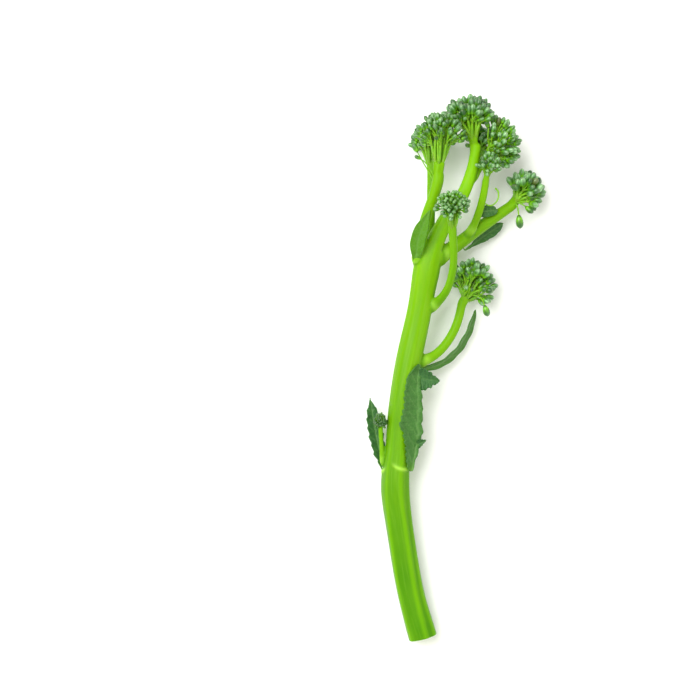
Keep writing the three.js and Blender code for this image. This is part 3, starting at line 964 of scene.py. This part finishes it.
class Floret:
    """One floret's plan: its branchlets, its flower stalks with their tones from end to end, its buds."""

    def __init__(self, node, settings):
        self.form = form = full_form(PLAIN_FLORET, FLORETS[node], FLORET_LENGTHS)
        form.facing = unit(form.facing)
        form.reach = math.radians(form.reach)
        self.rng = np.random.default_rng(settings.seed + form.seed)
        self.branchlets, self.stalks, self.tones, self.buds = [], [], [], []
        self.middle, self.radii = floret_ball(node, form)
        self.spread = self.radii.mean()
        self.grow()

    def add_stalk(self, line, tones):
        self.stalks.append(line)
        self.tones.append(tones)

    def add_bud(self, base, axis, size, bloom, young):
        """Adds a bud, lifted if it would reach below the surface the stalk lies on."""
        half_width, length = self.form.width * size / 2, self.form.length * size
        lowest = min(base[2], base[2] + axis[2] * length) - half_width
        base = base + UP * max(0.0, -lowest)
        tint = self.rng.random() * bloom
        ripe = RIPE_LOOK * (self.rng.random() < RIPE_CHANCE)
        self.buds.append((base, axis, half_width, length, tint, young, ripe))

    def grow(self):
        """Grows the branchlets, their stalks to the clusters, the two layers of buds and the shoots."""
        form, rng, facing = self.form, self.rng, self.form.facing
        count = cap_count(form, self.spread, form.cluster)
        clusters = cap_directions(count, CLUSTER_REACH * form.reach, facing, rng, CLUSTER_JITTER)
        branches = max(2, round(count / CLUSTERS_PER_BRANCHLET))
        groups = cap_directions(branches, BRANCH_REACH * form.reach, facing, rng, BRANCH_JITTER)
        group_of = (clusters @ groups.T).argmax(axis=1)
        behind = self.middle - facing * self.spread * KNOT_DEPTH
        knots = behind + clusters * self.radii * KNOT_REACH
        forks = self.grow_branchlets(knots, group_of)
        for knot, group in zip(knots, group_of):
            outward = unit(knot - forks[group])
            bend = forks[group] + outward * np.linalg.norm(knot - forks[group]) * 0.4
            bend = bend + rng.normal(0, 0.3 * MM, 3)
            girths = (form.stalk * 2, form.stalk * 1.5)
            self.add_stalk(curved(forks[group] - outward * 0.5 * MM, bend, knot, girths, 7), (0.0, 0.4))
        for layer in (0, 1):
            # the inner layer gets less bloom, which paints its buds darker as shade
            bloom = form.bloom * (1 - INNER_SHADE * layer)
            for base, aim, owner, size, young in self.bud_sites(clusters, layer):
                knot = knots[owner]
                outward = unit(knot - forks[group_of[owner]])
                axis = unit(unit(base - knot) * 0.5 + aim * 0.5 + rng.normal(0, BUD_LEAN, 3))
                bend = knot + outward * np.linalg.norm(base - knot) * 0.4
                thick = form.stalk * (0.75 + 0.25 * size)
                line = curved(
                    knot - outward * 0.2 * MM, bend, base + axis * 0.2 * MM, (thick, thick * 0.85), 5)
                self.add_stalk(line, (0.4, 1.0))
                self.add_bud(base, axis, size, bloom, young)
        for way, size in form.shoots:
            line = smooth_way(np.array(way) * MM, SHOOT_GIRTH * form.stalk)
            self.add_stalk(line, (0.3, 1.0))
            if size:
                axis = line.headings()[-1]
                self.add_bud(line.points[-1] - axis * 0.2 * MM, axis, size, bloom=0.5, young=0.15)

    def grow_branchlets(self, knots, group_of):
        """Thick branchlets that fan out of the stem's end, one for each group of knots. Gives their forks."""
        stem = LINES[self.form.stem]
        root, heading, girth = stem.points[-1], stem.headings()[-1], stem.radii[-1]
        thick = max(girth * BRANCHLET_GIRTH[0], THINNEST_BRANCHLET[0])
        girths = (thick, max(thick * BRANCHLET_GIRTH[1], THINNEST_BRANCHLET[1]))
        forks = {}
        for group in sorted(set(group_of)):
            away = knots[group_of == group].mean(axis=0) - root
            fork = root + away * self.rng.uniform(*FORK_SHARES)
            sideways = away - heading * (away @ heading)
            sideways *= min(1.0, girth / max(np.linalg.norm(sideways), TINY))
            start = root - heading * BRANCHLET_ROOT + sideways * 0.35
            bend = root + heading * np.linalg.norm(fork - root) * 0.45 + sideways * 0.6
            self.branchlets.append(curved(start, bend, fork, girths, 10))
            forks[group] = fork
        return forks

    def bud_sites(self, clusters, layer):
        """Where one layer of buds grows: base, outward direction, cluster, size and how young each is."""
        form, rng = self.form, self.rng
        count = cap_count(form, self.spread, form.spacing, INNER_SHARE if layer else 1.0)
        aims = cap_directions(count, form.reach, form.facing, rng, BUD_JITTER)
        off_axis = angle_between(aims, form.facing) / form.reach
        missing = form.open * smoothstep(*RIM, off_axis)
        missing = np.maximum(missing, form.window * smoothstep(*UPPER_SIDE, aims @ UP))
        aims = aims[rng.random(count) > missing]
        aside = angle_between(aims, clusters) * self.spread / (form.cluster * CLUSTER_RADIUS)
        kept = rng.random(len(aims)) > form.gaps * smoothstep(*BETWEEN_CLUSTERS, aside)
        aims, aside = aims[kept], aside[kept]
        off_axis = angle_between(aims, form.facing) / form.reach
        young = form.young * np.exp(-(off_axis / YOUNG_MIDDLE) ** 2)
        left = len(aims)
        young = np.maximum(young, YOUNGEST_RIM * smoothstep(*YOUNG_RIM, off_axis) * rng.random(left))
        young = np.maximum(young, layer * rng.uniform(0.0, YOUNGEST_INNER, left))
        sizes = rng.uniform(*BUD_SIZES, left) * (1 - YOUNG_SHRINK * young)
        lump = form.lumps * np.maximum(1 - LUMP_FALL * aside ** 2, LUMP_FLOOR)
        depth = form.length * sizes + layer * form.length * rng.uniform(*INNER_DEPTHS, left)
        rise = lump - depth + rng.normal(0, SCATTER, left)
        bases = self.middle + aims * self.radii + aims * rise[:, None]
        return zip(bases, aims, (aims @ clusters.T).argmax(axis=1), sizes, young)


def grow_florets(settings):
    return {node: Floret(node, settings) for node in FLORETS}


def bud_points_mesh(buds):
    """One point for each bud, with the values that the bud tree and the bud's material read."""
    mesh = bpy.data.meshes.new("bud points")
    mesh.from_pydata([tuple(bud[0]) for bud in buds], [], [])
    set_values(mesh, "axis", np.array([bud[1] for bud in buds]), "FLOAT_VECTOR")
    for place, name in enumerate(("width", "length", "tint", "young", "ripe"), start=2):
        set_values(mesh, name, [float(bud[place]) for bud in buds])
    return mesh


def one_bud():
    """A closed bud of unit width and length: four sepals that meet at a blunt point."""
    points, tips, seams = [], [], []
    for height, reach in BUD_PROFILE:
        for i in range(BUD_SIDES):
            turn = 2 * math.pi * i / BUD_SIDES
            lobe = 1 + SEPAL_BULGE * math.cos(SEPALS * turn) * math.sin(math.pi * height)
            points.append((reach * lobe * math.cos(turn), reach * lobe * math.sin(turn), height))
            tips.append(height)
            seams.append(1.0 if i % 2 and height > SEAMS_FROM else 0.0)
    points.append((0.0, 0.0, 1.0))
    tips.append(1.0)
    seams.append(0.0)
    faces = [tuple(range(BUD_SIDES - 1, -1, -1))]
    for ring in range(0, len(points) - 1, BUD_SIDES):
        for i in range(BUD_SIDES):
            a, b = ring + i, ring + (i + 1) % BUD_SIDES
            if ring + BUD_SIDES < len(points) - 1:
                faces.append((a, b, b + BUD_SIDES, a + BUD_SIDES))
            else:
                faces.append((a, b, len(points) - 1))
    mesh = bpy.data.meshes.new("one bud")
    mesh.from_pydata(points, [], faces)
    set_values(mesh, "tip", tips)
    set_values(mesh, "seam", seams)
    return bpy.data.objects.new("one_bud", mesh)


# ------------------------------------------------------------------------- leaves

BLADE_SLICES = 24
BLADE_ROWS = 96
BLADE_COLUMNS = 18
VEINS_ALONG = 8
RIPPLE = 34  # how fast the edge ripples from base to tip, in radians
MIDRIB_HALF = 0.35 * MM
MIDRIB_DEPTH = 0.18 * MM
VEIN_HEIGHT = 0.14 * MM
VEIN_WIDTH = 0.06  # a side vein's half width beside their spacing
VEIN_SLANT = 0.16  # how many spacings a side vein moves on for each millimetre out
CUP = 0.1  # how deep a blade is hollowed beside its width
DRAPE_GAP = 0.45 * MM  # how far a draped blade stays off the stems
FOOT_DEPTH = 1.3 * MM  # how far its foot is sunk
DRAPE_ROUNDS = 12
STALK_ROWS = 4
STALK_HALF = 0.7 * MM  # the least half width of a leaf stalk
TIP_HALF = 0.03  # a tip's half width beside its blade's
TOOTHED = 0.8  # how much of a leaf past its stalk may have teeth
PALE_REACH = 0.12  # how far past its stalk a leaf stays pale, as a share of its length
SHOULDER = 0.7  # how far out a leaf lies on the stem before it slopes, in radii
SHOULDER_SLOPE = 0.55
LEAN_SPREAD = 0.12  # how much wider a leaf gets for each millimetre it leans

# Each leaf that follows its CAD blade: teeth along an edge and their depth, the height of its ruffles, how
# pale it is, how far along it is widest, how wide its foot is as a share of its CAD width, how much of it
# its tip takes, how strong its veins are, how far its tip leans over to the right, whether it drapes over
# the stems, and how far it is shifted. Lengths are in millimetres.
PLAIN_LEAF = dict(teeth=0, depth=0.0, veins=0.6, lean=0.0, drapes=False, shift=(0, 0, 0))
LEAVES = {
    "strap_leaf": dict(ruffle=0.15, pale=0.4, shoulder=0.7, foot=0.75, tip=0.1),
    "bud_shoot_leaf": dict(teeth=9, depth=0.5, ruffle=0.3, pale=0.0, shoulder=0.3, foot=0.5, tip=0.2),
    "fork_bract": dict(
        ruffle=0.06, pale=0.95, shoulder=0.4, foot=0.62, tip=0.3, lean=2.4, veins=0.25, drapes=True),
    "oval_leaf": dict(ruffle=0.1, pale=0.1, shoulder=0.2, foot=0.5, tip=0.12),
    "under_leaf": dict(
        teeth=6, depth=0.2, ruffle=0.15, pale=0.1, shoulder=0.6, foot=0.3, tip=0.12, shift=(-0.5, 1.0, 0)),
}
LEAF_LENGTHS = ("depth", "ruffle", "shift")
CLASPING_LEAVES = ("fork_bract", "serrated_leaf", "bud_shoot_leaf")

# The serrated leaf's outline: how far along it, then how far its left and right edges stand from the
# middle of the stem it lies against, in millimetres.
SERRATED_OUTLINE = (
    (0.00, 4.4, 5.6), (0.04, 3.7, 5.9), (0.13, 3.3, 6.3), (0.22, 2.7, 6.9), (0.30, 2.2, 7.4),
    (0.38, 1.6, 7.7), (0.42, 0.1, 7.6), (0.46, 0.4, 7.4), (0.50, 0.9, 7.4), (0.64, 1.2, 6.9),
    (0.78, 0.5, 5.6), (0.89, 0.6, 4.8), (0.97, 2.0, 4.3), (1.00, 3.2, 3.9))
SERRATED_ROWS = 150
SERRATED_LIFT = (0.45, 0.95)  # how far off the stem at its ends, and how much more between, in mm
SERRATED_PALE = (0.25, 0.5)  # how pale it is, and how much paler at its foot
SERRATED_MARGIN = 0.3  # how far the blade stops short of its CAD box's ends, in millimetres
LEFT_TEETH = (17, 0.7)  # how many, and how deep in millimetres
RIGHT_TEETH = (9, 0.5)
# A folded lobe's outline: how far out it, then its half width in millimetres.
LOBE_OUTLINE = ((0.0, 3.4), (0.3, 3.5), (0.42, 2.5), (0.55, 2.7), (0.68, 1.5), (0.8, 1.4), (1.0, 0.1))
LOBE_ROWS = 60
LOBE_TEETH = (6, 0.5)
LOBE_ACROSS = np.array([0.0, 1.0, 0.35])
LOBE_FACE = np.array([0.1, -0.3, 0.95])
LOBE_RISE = 0.6 * MM
SMALL_LOBE = 0.42  # the small curled lobe's size beside the large one's


def blade_line(node):
    """A simple leaf's CAD solid as rows from base to tip: its middle, its side direction, its half width."""
    slices, centre, turn, _, _ = slices_of(node, BLADE_SLICES)
    rows = []
    for level, _, middle, rim in slices:
        if len(rim) < 3:
            continue
        away = rim - middle
        direction = np.linalg.svd(away, full_matrices=False)[2][0]
        if direction[0] < 0:
            direction = -direction
        rows.append((*middle, level, *direction, np.ptp(away @ direction) / 2))
    rows = np.array(rows)
    soften(rows, 3)
    return centre + rows[:, :3] @ turn, unit(rows[:, 3:5] @ turn[:2]), rows[:, 5]


def leaf_mesh(rows, ruffle, midrib_at=0.0, vein_strength=0.6):
    """A blade from rows of (left point, right point, face direction, paleness), ruffled and veined."""
    points, veins, pales, faces = [], [], [], []
    for r, (left, right, face, pale) in enumerate(rows):
        t = r / (len(rows) - 1)
        width = np.linalg.norm(right - left)
        fade = min(1.0, width / (3 * MM))
        for c in range(BLADE_COLUMNS + 1):
            u = 2 * c / BLADE_COLUMNS - 1
            off_rib = abs(u - midrib_at)
            edge = abs(u) ** 3
            wave = ruffle * edge * fade * math.sin(t * RIPPLE + (2 if u > 0 else 0))
            midrib = math.exp(-(off_rib * width / 2 / MIDRIB_HALF) ** 2)
            slant = (t * VEINS_ALONG - off_rib * width / MM * VEIN_SLANT) % 1.0
            side_vein = math.exp(-((slant - 0.5) / VEIN_WIDTH) ** 2) * (1 - edge) * (1 - midrib)
            cup = -CUP * width * (1 - u * u)
            lift = wave + cup + fade * (VEIN_HEIGHT * side_vein - MIDRIB_DEPTH * midrib)
            points.append(tuple(left + (right - left) * (c / BLADE_COLUMNS) + face * lift))
            veins.append(vein_strength * max(midrib * (1 - 0.5 * t), 0.5 * side_vein))
            pales.append(pale)
    across = BLADE_COLUMNS + 1
    for a in range(across * (len(rows) - 1)):
        if a % across < BLADE_COLUMNS:
            faces.append((a, a + 1, a + across + 1, a + across))
    mesh = bpy.data.meshes.new("leaf")
    mesh.from_pydata(points, [], faces)
    set_values(mesh, "vein", veins)
    set_values(mesh, "pale", pales)
    return mesh


def saw(t, teeth):
    """A tooth profile that rises slowly and falls fast, from 0 to 1."""
    place = (t * teeth) % 1.0
    return place / 0.75 if place < 0.75 else (1 - place) / 0.25


def leaf_stalk(middles, halves):
    """The way back from a blade's base to the nearest stem: a few middles and half widths."""
    base = middles[0]
    stem, radius = nearest_on(LINES.values(), base)
    root = stem + unit(base - stem) * radius * 0.55
    bend = base - unit(middles[1] - base) * np.linalg.norm(base - root) * 0.4
    stalk = arc(root, bend, base, np.linspace(0, 1, STALK_ROWS + 1)[:-1, None])
    return stalk, np.full(len(stalk), max(STALK_HALF, halves[0] * 0.6))


def simple_leaf_mesh(node):
    """A leaf that follows its CAD blade, with a stalk back to its stem and teeth along both edges."""
    form = full_form(PLAIN_LEAF, LEAVES[node], LEAF_LENGTHS)
    middles, sides, halves = blade_line(node)
    middles = middles + form.shift
    stalk, stalk_halves = leaf_stalk(middles, halves)
    middles = np.vstack([stalk, middles])
    sides = np.vstack([np.repeat(sides[:1], len(stalk), axis=0), sides])
    halves = np.concatenate([stalk_halves, halves])
    steps = Line(middles, halves).along
    share = np.linspace(0, 1, BLADE_ROWS)
    rows = rows_at(share * steps[-1], steps, np.column_stack([middles, sides, halves]))
    middle, side, half = rows[:, :3], unit(rows[:, 3:6]), rows[:, 6]
    middle[:, 0] += form.lean * MM * share ** 1.5
    half *= 1 + LEAN_SPREAD * form.lean
    stalk_share = steps[len(stalk)] / steps[-1]
    widest = max(form.shoulder, stalk_share + 0.05)
    half *= form.foot + (1 - form.foot) * smoothstep(stalk_share, widest, share)
    half *= np.sqrt(np.minimum(1, (1.0 - share) / form.tip)) * (1 - TIP_HALF) + TIP_HALF
    soften(middle, 6)
    soften(half, 6)
    face = unit(np.cross(side, unit(np.gradient(middle, axis=0))))
    face *= np.sign((face @ UP).mean())
    edges = []
    for i, t in enumerate(share):
        toothed = form.teeth and 0 < t - stalk_share < TOOTHED
        bite = form.depth * saw(t, form.teeth) if toothed else 0.0
        pale = max(form.pale, float(smoothstep(stalk_share + PALE_REACH, stalk_share, t)))
        reach = side[i] * (half[i] + bite - form.depth / 2)
        edges.append((middle[i] - reach, middle[i] + reach, face[i], pale))
    mesh = leaf_mesh(edges, form.ruffle, vein_strength=form.veins)
    return draped(mesh) if form.drapes else mesh


def draped(mesh):
    """Lifts a blade out of the stems it would sink into, so that it lies over them from a sunken foot."""
    points = vertex_places(mesh)
    held = smoothstep(0.5 * MM, 4.0 * MM, points[:, 1] - points[:, 1].min())
    points -= UP * (FOOT_DEPTH * (1 - held))[:, None]
    for _ in range(DRAPE_ROUNDS):
        gap = nearest_places(points)[-1]
        points += UP * (np.maximum(0, DRAPE_GAP - gap) * held)[:, None]
    mesh.vertices.foreach_set("co", points.ravel())
    return mesh


def over_stem(y, out, clearance):
    """A point beside or on the main stem at one place along Y: over its top, then down past its side."""
    line = LINES[MAIN_STEM]
    at = int(np.abs(line.points[:, 1] - y).argmin())
    centre, radius = line.points[at], line.radii[at] + clearance
    shoulder = SHOULDER * radius
    height = math.sqrt(radius ** 2 - min(abs(out), shoulder) ** 2) - SHOULDER_SLOPE * max(0.0, out - shoulder)
    return np.array([centre[0] + out, y, centre[2] + height])


def serrated_blade_rows(low, high):
    """The large leaf clasps the right of the main stem at its base and lies along it."""
    places, lefts, rights = np.array(SERRATED_OUTLINE).T
    length = (high[1] - low[1]) / MM - 2 * SERRATED_MARGIN
    (lowest, more), (pale, paler) = SERRATED_LIFT, SERRATED_PALE
    rows = []
    for i in range(SERRATED_ROWS):
        t = i / (SERRATED_ROWS - 1)
        y = low[1] + (SERRATED_MARGIN + t * length) * MM
        fade = math.sin(math.pi * min(1, t * 0.9 + 0.1))
        left = np.interp(t, places, lefts) - LEFT_TEETH[1] * saw(t, LEFT_TEETH[0]) * fade
        right = np.interp(t, places, rights) + RIGHT_TEETH[1] * saw(1 - t, RIGHT_TEETH[0]) * fade
        lift = lowest + more * math.sin(math.pi * min(1.0, t * 1.1))
        inner, middle, outer = (
            over_stem(y, out * MM, lift * MM) for out in (left, (left + right) / 2, right))
        outer = outer + (middle - (inner + outer) / 2) * 0.5
        face = unit(np.cross(outer - inner, CROWNWARD))
        rows.append((inner, outer, face, pale + paler * float(smoothstep(PALE_REACH, 0.0, t))))
    return rows


def lobe_rows(root, tip, size):
    """A toothed lobe that folds out sideways from the blade to a point; size scales its outline."""
    places, halves = np.array(LOBE_OUTLINE).T
    teeth, depth = LOBE_TEETH
    rows = []
    for i in range(LOBE_ROWS):
        t = i / (LOBE_ROWS - 1)
        middle = root + (tip - root) * t + UP * LOBE_RISE * size * math.sin(math.pi * t)
        half = size * MM * (np.interp(t, places, halves) + depth * saw(t, teeth) * (1 - t))
        rows.append((middle + LOBE_ACROSS * half, middle - LOBE_ACROSS * half, LOBE_FACE, 0.0))
    return rows


def serrated_leaf_mesh():
    """The serrated leaf's blade, its folded lobe and a small curled one in one mesh."""
    low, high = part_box("serrated_leaf")
    root = over_stem(high[1] - 5.2 * MM, 4.6 * MM, 1.0 * MM)
    tip = np.array([high[0], high[1] - 5.9 * MM, low[2] + 0.8 * MM])
    small_root = over_stem(low[1] + 9.2 * MM, 6.2 * MM, 0.6 * MM)
    small_tip = small_root + np.array([3.2, 1.6, 0.4]) * MM
    body = bmesh.new()
    for rows, midrib_at, veins in (
            (serrated_blade_rows(low, high), 0.6, 0.5),
            (lobe_rows(root, tip, 1.0), 0.0, 0.2),
            (lobe_rows(small_root, small_tip, SMALL_LOBE), 0.0, 0.2)):
        body.from_mesh(leaf_mesh(rows, 0.3 * MM, midrib_at, veins))
    mesh = bpy.data.meshes.new("serrated leaf")
    body.to_mesh(mesh)
    body.free()
    return mesh


def show_leaf(node, mesh, material, settings):
    """Shows a leaf with its faces turned one way, smoothed, and given a thickness."""
    body = bmesh.new()
    body.from_mesh(mesh)
    smooth_out(body)
    body.to_mesh(mesh)
    body.free()
    piece = show(node + "_blade", mesh, [material], [node])
    wall = piece.modifiers.new("blade thickness", "SOLIDIFY")
    wall.thickness = settings.thickness
    wall.offset = 0.0


# ----------------------------------------------------------------------- settings

class StemSettings(bpy.types.PropertyGroup):
    """Sizes and colours of the stem skin."""
    seed: IntProperty(name="Seed", description="Which random ribs are grown", default=4)
    rib_depth: length_property("Rib depth", 0.4, "Height of the soft ribs along the main stem")
    rib_width: length_property("Rib width", 2.6, "Width of a rib")
    collar_width: length_property("Collar width", 1.3, "Width of the scars at the joints")
    collar_height: length_property("Collar height", 0.25, "Height of the scars at the joints")
    skin_grain: length_property("Skin grain", 0.36, "Size of the faces of the skin")
    cut_spare: length_property("Spare at the cut", 2.5, "Length grown past the cut before it is cut off")
    rim: length_property("Rim", 0.35, "Width of the softened edge round the cut face")
    soften: IntProperty(name="Soften", description="Rounds of smoothing where stems meet", default=8, min=0)
    old_skin: colour_property("Old skin", "4C8800", "Skin near the cut end")
    young_skin: colour_property("Young skin", "70A700", "Skin near the crown")
    # Pale skin colours the palest fibres and the scars, where it is partly their own colour and partly a
    # painted highlight.
    pale_skin: colour_property("Pale skin", "A0D048", "Scars and the palest fibres")
    # Deep skin colours the darker bands, and is also the painted shade in the forks between stems.
    deep_skin: colour_property("Deep skin", "2D7004", "Grooves and forks")
    # Ridge highlight skin is a painted highlight along the crests of the ribs.
    ridge_highlight_skin: colour_property("Ridge skin", "7CBA04", "The crests of the ribs")
    pith: colour_property("Pith", "D2DFAB", "Middle of the cut face")
    fibre_ring: colour_property("Fibre ring", "ABC967", "Ring of fibre bundles in the cut face")


class FloretSettings(bpy.types.PropertyGroup):
    """Sizes and colours of the buds and their stalks."""
    seed: IntProperty(name="Seed", description="Which random floret is grown", default=20)
    bud_size: number_property("Bud size", 1.0, "Scale of every bud", 0.1)
    stalk_girth: number_property("Stalk girth", 1.0, "Scale of every flower stalk", 0.1)
    # The stalks go from the flower stalk colour at the buds to the branchlet colour inside the floret, partly
    # as painted shade.
    branchlet: colour_property("Branchlet", "77AF11", "Stalks near the stem")
    pedicel: colour_property("Flower stalk", "7DB31B", "Thin stalks under the buds")
    deep_skin: colour_property("Deep skin", "3C7C08", "Darker patches on the stalks")
    bud_bloom: colour_property("Bud bloom", "4C8C48", "The palest blue-green buds")
    # Dark buds come partly from random tone and partly from painted shade, in the inner layer and in florets
    # with less bloom.
    bud_dark: colour_property("Dark bud", "185018", "The darkest buds")
    bud_base: colour_property("Bud base", "74BC06", "Where a bud meets its stalk, and young buds")
    # Bud powder is partly the real bloom on the tips and partly a painted highlight.
    bud_powder_and_highlight: colour_property("Bud powder", "A2D494", "Powdery bloom on the tips")
    # The seam colour is the sepals' own dark seams, and the painted shade under the buds.
    bud_seam_and_shade: colour_property("Bud seam", "0E3408", "Lines between the sepals, and under the buds")
    bud_ripe: colour_property("Ripe bud", "5D5B2A", "The points of the buds, and the few ripe ones")


class LeafSettings(bpy.types.PropertyGroup):
    """Sizes and colours of the leaves."""
    thickness: length_property("Thickness", 0.4, "Thickness of a blade")
    leaf_dark: colour_property("Dark leaf", "224C28", "Darker parts of a blade")
    leaf_light: colour_property("Light leaf", "417437", "Lighter parts of a blade")
    leaf_vein: colour_property("Vein", "79A55D", "Midrib and veins")
    bract_skin: colour_property("Bract skin", "4E8408", "The pale bract, strap leaf and leaf stalks")


class StageSettings(bpy.types.PropertyGroup):
    """Camera, light and table."""
    lens: number_property("Lens", 100.0, "Focal length in millimetres", 10)
    camera_height: length_property("Camera height", 673.0, "Height of the camera over the table")
    camera_left: length_property("Camera offset left", 36.7, "How far left of the stalk's middle it hangs")
    camera_up: length_property("Camera offset up", 6.8, "How far towards the crown it hangs")
    table_size: length_property("Table size", 3000.0, "Width of the table")
    key_power: number_property("Key light", 11.0, "Power of the large soft light in watts")
    fill_power: number_property("Fill light", 1.6, "Power of the fill light in watts")
    sky: number_property("Sky", 0.8, "Strength of the light from all round")
    sky_colour: colour_property("Sky colour", "FFFFF4", "Colour of the light from all round")
    table_light: colour_property("Table", "FAFAFA", "The white table")
    table_dark: colour_property("Table grain", "F6F6F6", "The faint grain of the table")


GROUPS = {
    "stalk_stems": StemSettings, "stalk_florets": FloretSettings,
    "stalk_leaves": LeafSettings, "stalk_stage": StageSettings,
}


# ---------------------------------------------------------------------- operators

# Each light's size and place, in metres; both shine at the middle of the stalk.
KEY_LIGHT = (0.7, (-0.4, 0.3, 0.85))
FILL_LIGHT = (1.0, (0.7, -0.3, 0.7))
SENSOR_WIDTH = 36.0


class STALK_OT_stems(bpy.types.Operator):
    """Grows one waxy skin over the main stem and its side stems"""
    bl_idname = "stalk.stems"
    bl_label = "Stem skin"

    def execute(self, context):
        settings = context.scene.stalk_stems
        main = LINES[MAIN_STEM]
        mesh = stem_skin_mesh(settings, grow_florets(context.scene.stalk_florets))
        if len(mesh.polygons) == 0:
            raise RuntimeError("the stem skin came out empty")
        materials = [waxy_stem_skin(settings), cut_stem_face(settings, main.points[0], main.radii[0])]
        show("stem_skin", mesh, materials, (MAIN_STEM,) + SIDE_STEMS)
        return {"FINISHED"}


class STALK_OT_florets(bpy.types.Operator):
    """Grows the flower stalks and buds of every floret"""
    bl_idname = "stalk.florets"
    bl_label = "Florets"

    def execute(self, context):
        settings = context.scene.stalk_florets
        stalks, buds_on = stalk_tree(), bud_tree()
        stalk_skin, bud_skin = branchlet_skin(settings), bloomed_bud_skin(settings)
        bud = one_bud()
        context.collection.objects.link(bud)
        for node, floret in grow_florets(settings).items():
            branchlets = run_tree(
                runs_mesh(floret.stalks, floret.tones), stalks,
                Sides=6, Girth=settings.stalk_girth, Material=stalk_skin)
            show(node + "_branchlets", branchlets, [stalk_skin], [node])
            grown = run_tree(
                bud_points_mesh(floret.buds), buds_on, Bud=bud, Size=settings.bud_size,
                Seed=floret.form.seed, Material=bud_skin)
            show(node + "_buds", grown, [bud_skin], [node])
        bpy.data.objects.remove(bud)
        return {"FINISHED"}


class STALK_OT_leaves(bpy.types.Operator):
    """Grows the leaves at the joints"""
    bl_idname = "stalk.leaves"
    bl_label = "Leaves"

    def execute(self, context):
        settings = context.scene.stalk_leaves
        green = waxy_leaf(settings)
        show_leaf("serrated_leaf", serrated_leaf_mesh(), green, settings)
        for node in LEAVES:
            show_leaf(node, simple_leaf_mesh(node), green, settings)
        return {"FINISHED"}


class STALK_OT_stage(bpy.types.Operator):
    """Sets up the white table, the soft lights and the camera above"""
    bl_idname = "stalk.stage"
    bl_label = "Stage"

    def execute(self, context):
        settings = context.scene.stalk_stage
        scene = context.scene
        mesh = bpy.data.meshes.new("table")
        half = settings.table_size / 2
        corners = [(-half, -half, 0), (half, -half, 0), (half, half, 0), (-half, half, 0)]
        mesh.from_pydata(corners, [], [(0, 1, 2, 3)])
        mesh.materials.append(matt_white_table(settings))
        table = bpy.data.objects.new("table", mesh)
        scene.collection.objects.link(table)
        for name, power, (size, place) in (
                ("key_light", settings.key_power, KEY_LIGHT),
                ("fill_light", settings.fill_power, FILL_LIGHT)):
            lamp = bpy.data.lights.new(name, "AREA")
            lamp.energy = power
            lamp.size = size
            light = bpy.data.objects.new(name, lamp)
            light.location = place
            light.rotation_mode = "QUATERNION"
            light.rotation_quaternion = (-Vector(place)).to_track_quat("-Z", "Y")
            scene.collection.objects.link(light)
        world = bpy.data.worlds.new("white_room")
        world.use_nodes = True
        world.node_tree.nodes.clear()
        sky = add_node(
            world.node_tree, "ShaderNodeBackground", {"Color": settings.sky_colour, "Strength": settings.sky})
        add_node(world.node_tree, "ShaderNodeOutputWorld", {"Surface": sky})
        scene.world = world
        lens = bpy.data.cameras.new("camera")
        lens.lens = settings.lens
        lens.sensor_width = SENSOR_WIDTH
        camera = bpy.data.objects.new("camera", lens)
        camera.location = (-settings.camera_left, settings.camera_up, settings.camera_height)
        scene.collection.objects.link(camera)
        scene.camera = camera
        scene.view_settings.view_transform = "Standard"
        return {"FINISHED"}


OPERATORS = (STALK_OT_stems, STALK_OT_florets, STALK_OT_leaves, STALK_OT_stage)


class STALK_PT_panel(bpy.types.Panel):
    """Lists the steps that grow the stalk, in order"""
    bl_label = "Broccolini stalk"
    bl_idname = "STALK_PT_panel"
    bl_space_type = "VIEW_3D"
    bl_region_type = "UI"
    bl_category = "Stalk"

    def draw(self, context):
        for operator in OPERATORS:
            self.layout.operator(operator.bl_idname)
        for key in GROUPS:
            group = getattr(context.scene, key)
            box = self.layout.box()
            for name in group.__annotations__:
                box.prop(group, name)


CLASSES = tuple(GROUPS.values()) + OPERATORS + (STALK_PT_panel,)


def register():
    for kind in CLASSES:
        bpy.utils.register_class(kind)
    for key, group in GROUPS.items():
        setattr(bpy.types.Scene, key, PointerProperty(type=group))


def unregister():
    for key in GROUPS:
        delattr(bpy.types.Scene, key)
    for kind in reversed(CLASSES):
        bpy.utils.unregister_class(kind)


def main():
    register()
    bpy.ops.stalk.stems()
    bpy.ops.stalk.florets()
    bpy.ops.stalk.leaves()
    bpy.ops.stalk.stage()
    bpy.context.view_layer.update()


if __name__ == "__main__":
    main()
